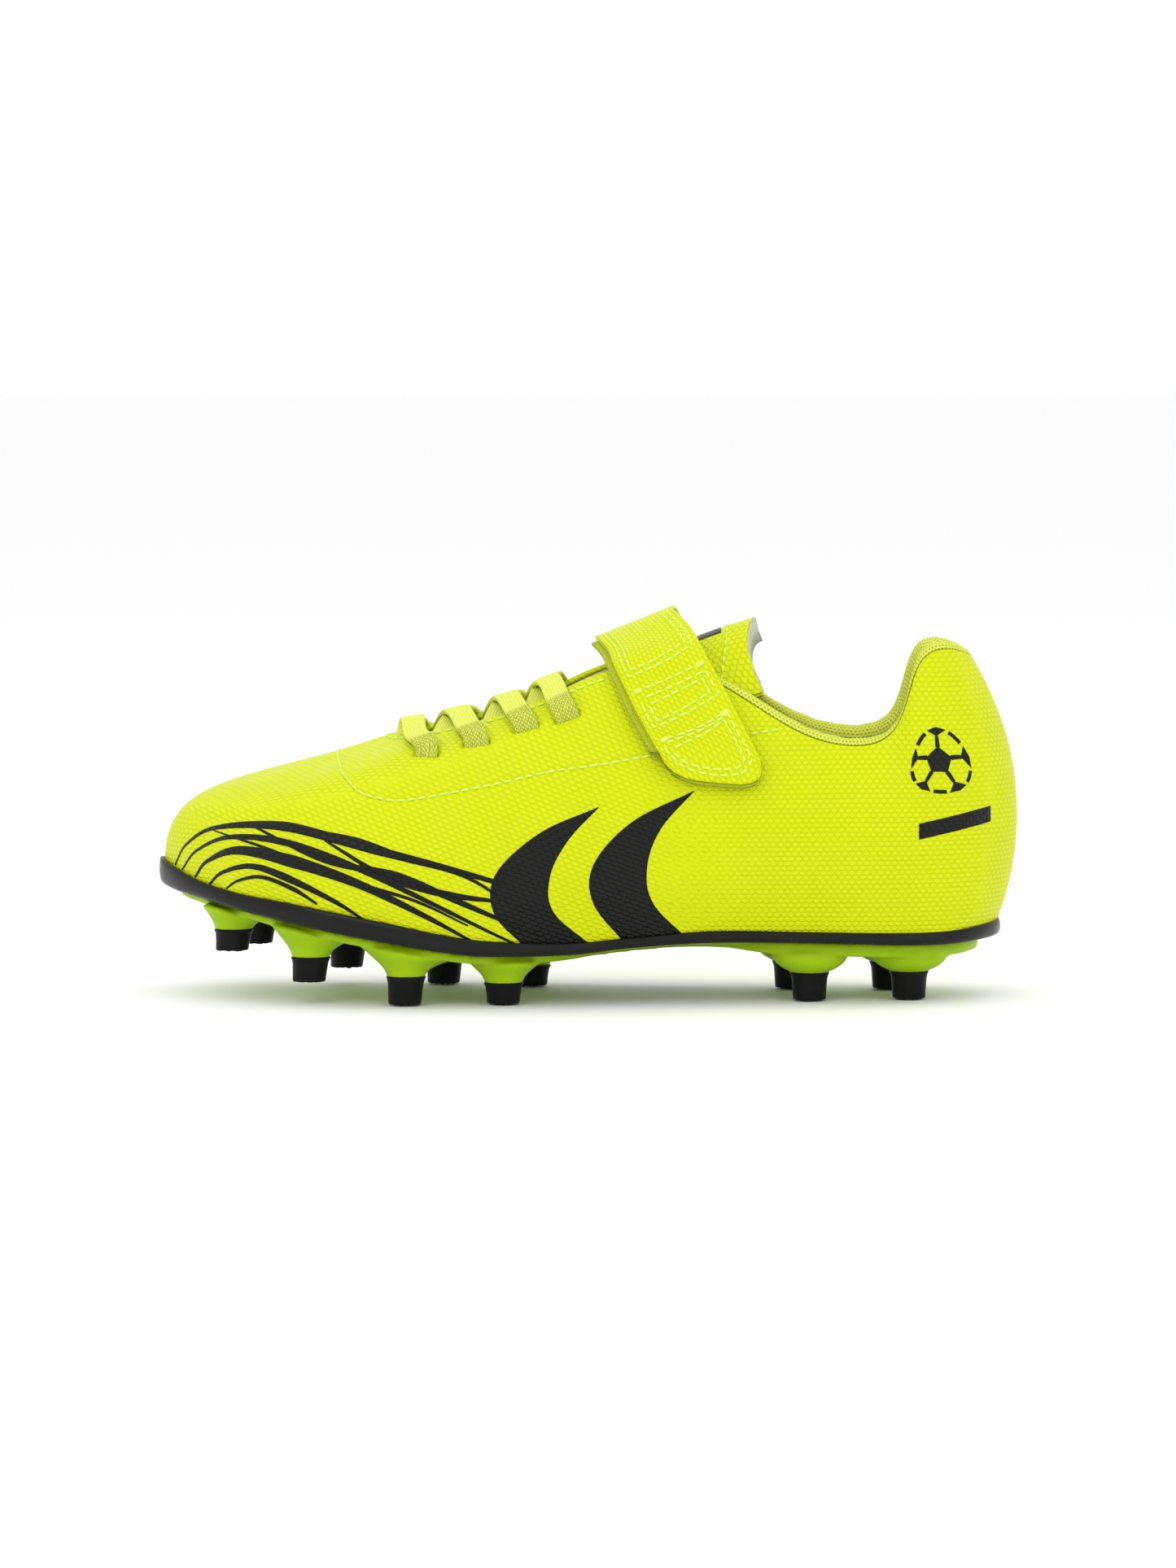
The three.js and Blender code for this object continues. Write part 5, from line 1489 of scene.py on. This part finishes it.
STRAP_SEAMS = [[(0.55, 0.06), (0.40, 0.94)], [(0.92, 0.07), (0.70, 0.93)]]
STRAP_ROWS = STRAP_SEAMS + [
    [(0.03, 0.09), (0.45, 0.09), (0.31, 0.91), (0.03, 0.91)],
    [(0.03, 0.155), (0.405, 0.155), (0.29, 0.845), (0.03, 0.845)],
    [(0.60, 0.09), (0.80, 0.09), (0.60, 0.91), (0.45, 0.91), (0.60, 0.09)],
    [(0.635, 0.165), (0.75, 0.165), (0.585, 0.835), (0.495, 0.835), (0.635, 0.165)],
    tip_row(2.2),
    tip_row(3.9),
]
TACK_SHARE = 0.12  # share of a seam's length that its bartacks cover at each end


def bartack_rows():
    """Three close rows at both ends of each seam across the strap."""
    rows = []
    for start, end in STRAP_SEAMS:
        for near, far in ((start, end), (end, start)):
            near, far = np.array(near), np.array(far)
            for shift in (-0.008, 0.0, 0.008):
                tack = np.array([near, near + (far - near) * TACK_SHARE]) + [shift, 0]
                rows.append(strap_row(tack, 30))
    return rows


def add_strap():
    middle = lambda share: Vector((strap_place(share, 0.5)[0][0] * MM).tolist())
    tip_ends = middle(STRAP_KNOTS[SPLIT_ROW] - 0.022), middle(STRAP_KNOTS[SPLIT_ROW] + 0.03)
    root_ends = middle(STRAP_KNOTS[ROOT_ROW] - 0.03), middle(STRAP_KNOTS[ROOT_ROW] + 0.03)
    start, end = lambda knots: 0.0, lambda knots: 1.0
    lap_start = lambda knots: knots[LAP_ROW] - 0.03
    lap_end = lambda knots: knots[LAP_ROW] + 0.035
    back_start = lambda knots: knots[LAP_ROW] + 0.045
    edges = (0.0, 1.0)
    inner_face = strap_body("strap_inner_face", start, lap_end, edges, -FACE_THICK, 0.0)
    inner_back = strap_body("strap_inner_backing", lambda k: k[ROOT_ROW] + 0.01, lap_end,
                            (0.01, 0.99), GAP * 0.3,
                            GAP + BACK_THICK)
    outer_face = strap_body("strap_outer_face", lap_start, end, edges, -FACE_THICK, 0.0, lap_lift)
    outer_back = strap_body("strap_outer_backing", back_start, end,
                            (BACKING_PROUD, 1.0), 0.1, GAP + BACK_THICK,
                            None, TIP_ROUND + 0.6)
    finish_piece(inner_face, "strap", None, ["strap_anchor", "strap_face"])
    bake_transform(inner_face)
    finish_piece(inner_back, "fuzzy", "strap", ["strap_backing"])
    finish_piece(outer_face, "strap", None, ["strap_tip_face"])
    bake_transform(outer_face)
    finish_piece(outer_back, "hook", None, ["strap_tip_hook"])
    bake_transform(outer_back)

    rows = [strap_row(corners, 160) for corners in STRAP_ROWS]
    stitches = thread_piece("stitches_strap", rows, None)
    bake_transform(stitches)
    tack = thread_piece("bartacks_strap", bartack_rows(), None)
    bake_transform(tack)

    lap_rows = []
    for share in (STRAP_KNOTS[LAP_ROW] - 0.018, STRAP_KNOTS[LAP_ROW] + 0.004):
        across = np.linspace(0.06, 0.94, 60)
        point, out = strap_place(np.full(60, share), across)
        lap_rows.append((point + out * (FACE_THICK + LAP - 0.02), out))
    thread_piece("stitches_lap", lap_rows, "strap")
    box_rows = []
    low, high = 0.012, STRAP_KNOTS[2]
    for inset in (0.09, 0.15):
        near = low + inset * 0.12
        corners = [(high, inset), (near, inset), (near, 1 - inset), (high, 1 - inset)]
        path = np.vstack([np.linspace(a, b, 50) for a, b in zip(corners, corners[1:])])
        point, out = strap_place(path[:, 0], path[:, 1])
        box_rows.append((point + out * (FACE_THICK - 0.02), out))
    thread_piece("stitches_anchor", box_rows, "boot")

    def patch_surface(u, v, depth):
        place = strap_side(u, v, TIP_ROUND + 0.5)
        return wall_at(place[..., 0], place[..., 1], depth)

    patch = sheet("loop_pad", patch_surface, np.linspace(STRAP_SPLIT + 0.06, 1.95, 70),
                  np.linspace(0.01, 0.99, 36),
                  -1.2, -0.05, 0.01)
    finish_piece(patch, "fuzzy", "boot", ["loop_patch"])


# ---- Studio -----------------------------------------------------------------------------------------------
CAMERA_TARGET = Vector((0.0001, 0, 0.0537))
CAMERA_ELEVATION = math.radians(4.3)
CAMERA_DISTANCE = 2.0
FRAME_HEIGHT = 0.4006  # metres across the tall side of the picture at the boot
SENSOR = 36


def area_light(name, place, target, size, power, colour=(1, 1, 1)):
    data = bpy.data.lights.new(name, "AREA")
    data.shape = "RECTANGLE"
    data.size, data.size_y = size
    data.energy, data.color = power, colour
    lamp = bpy.data.objects.new(name, data)
    bpy.context.scene.collection.objects.link(lamp)
    lamp.location = place
    lamp.rotation_euler = (Vector(target) - Vector(place)).to_track_quat("-Z", "Y").to_euler()


def add_studio():
    scene = bpy.context.scene
    world = bpy.data.worlds.new("studio")
    world.use_nodes = True
    world.node_tree.nodes["Background"].inputs["Color"].default_value = (1, 1, 1, 1)
    world.node_tree.nodes["Background"].inputs["Strength"].default_value = 1.0
    scene.world = world
    middle = (0, 0, 0.04)
    area_light("key", (-0.5, -1.1, 1.0), middle, (0.9, 0.7), 3.2)
    area_light("fill", (0.9, -1.0, 0.45), middle, (0.8, 0.8), 1.2)
    area_light("top", (0.0, 0.15, 1.2), middle, (1.4, 0.8), 3.0)
    area_light("back", (0.2, 1.2, 0.7), middle, (1.2, 0.5), 1.2)
    n = Nodes("pale_floor", Roughness=0.7, Specular_IOR_Level=0.1)
    n.colour((0.97, 0.97, 0.97, 1))
    mesh = bpy.data.meshes.new("floor")
    half = 6.0
    mesh.from_pydata([(-half, -half, 0), (half, -half, 0), (half, half, 0), (-half, half, 0)], [],
                     [(0, 1, 2, 3)])
    mesh.materials.append(n.material)
    floor = bpy.data.objects.new("floor", mesh)
    floor.location.z = -0.0002
    scene.collection.objects.link(floor)
    data = bpy.data.cameras.new("camera")
    data.sensor_width = SENSOR
    data.lens = SENSOR * CAMERA_DISTANCE / FRAME_HEIGHT
    data.clip_end = 50
    camera = bpy.data.objects.new("camera", data)
    scene.collection.objects.link(camera)
    back = Vector((0, -math.cos(CAMERA_ELEVATION), math.sin(CAMERA_ELEVATION)))
    camera.location = CAMERA_TARGET + back * CAMERA_DISTANCE
    camera.rotation_euler = (-back).to_track_quat("-Z", "Y").to_euler()
    scene.camera = camera
    scene.view_settings.view_transform = "Standard"


add_upper()
add_upper_stitches()
add_prints()
add_collar()
add_foot_bed()
add_outsole()
add_laces()
add_tongue()
add_strap()
add_studio()
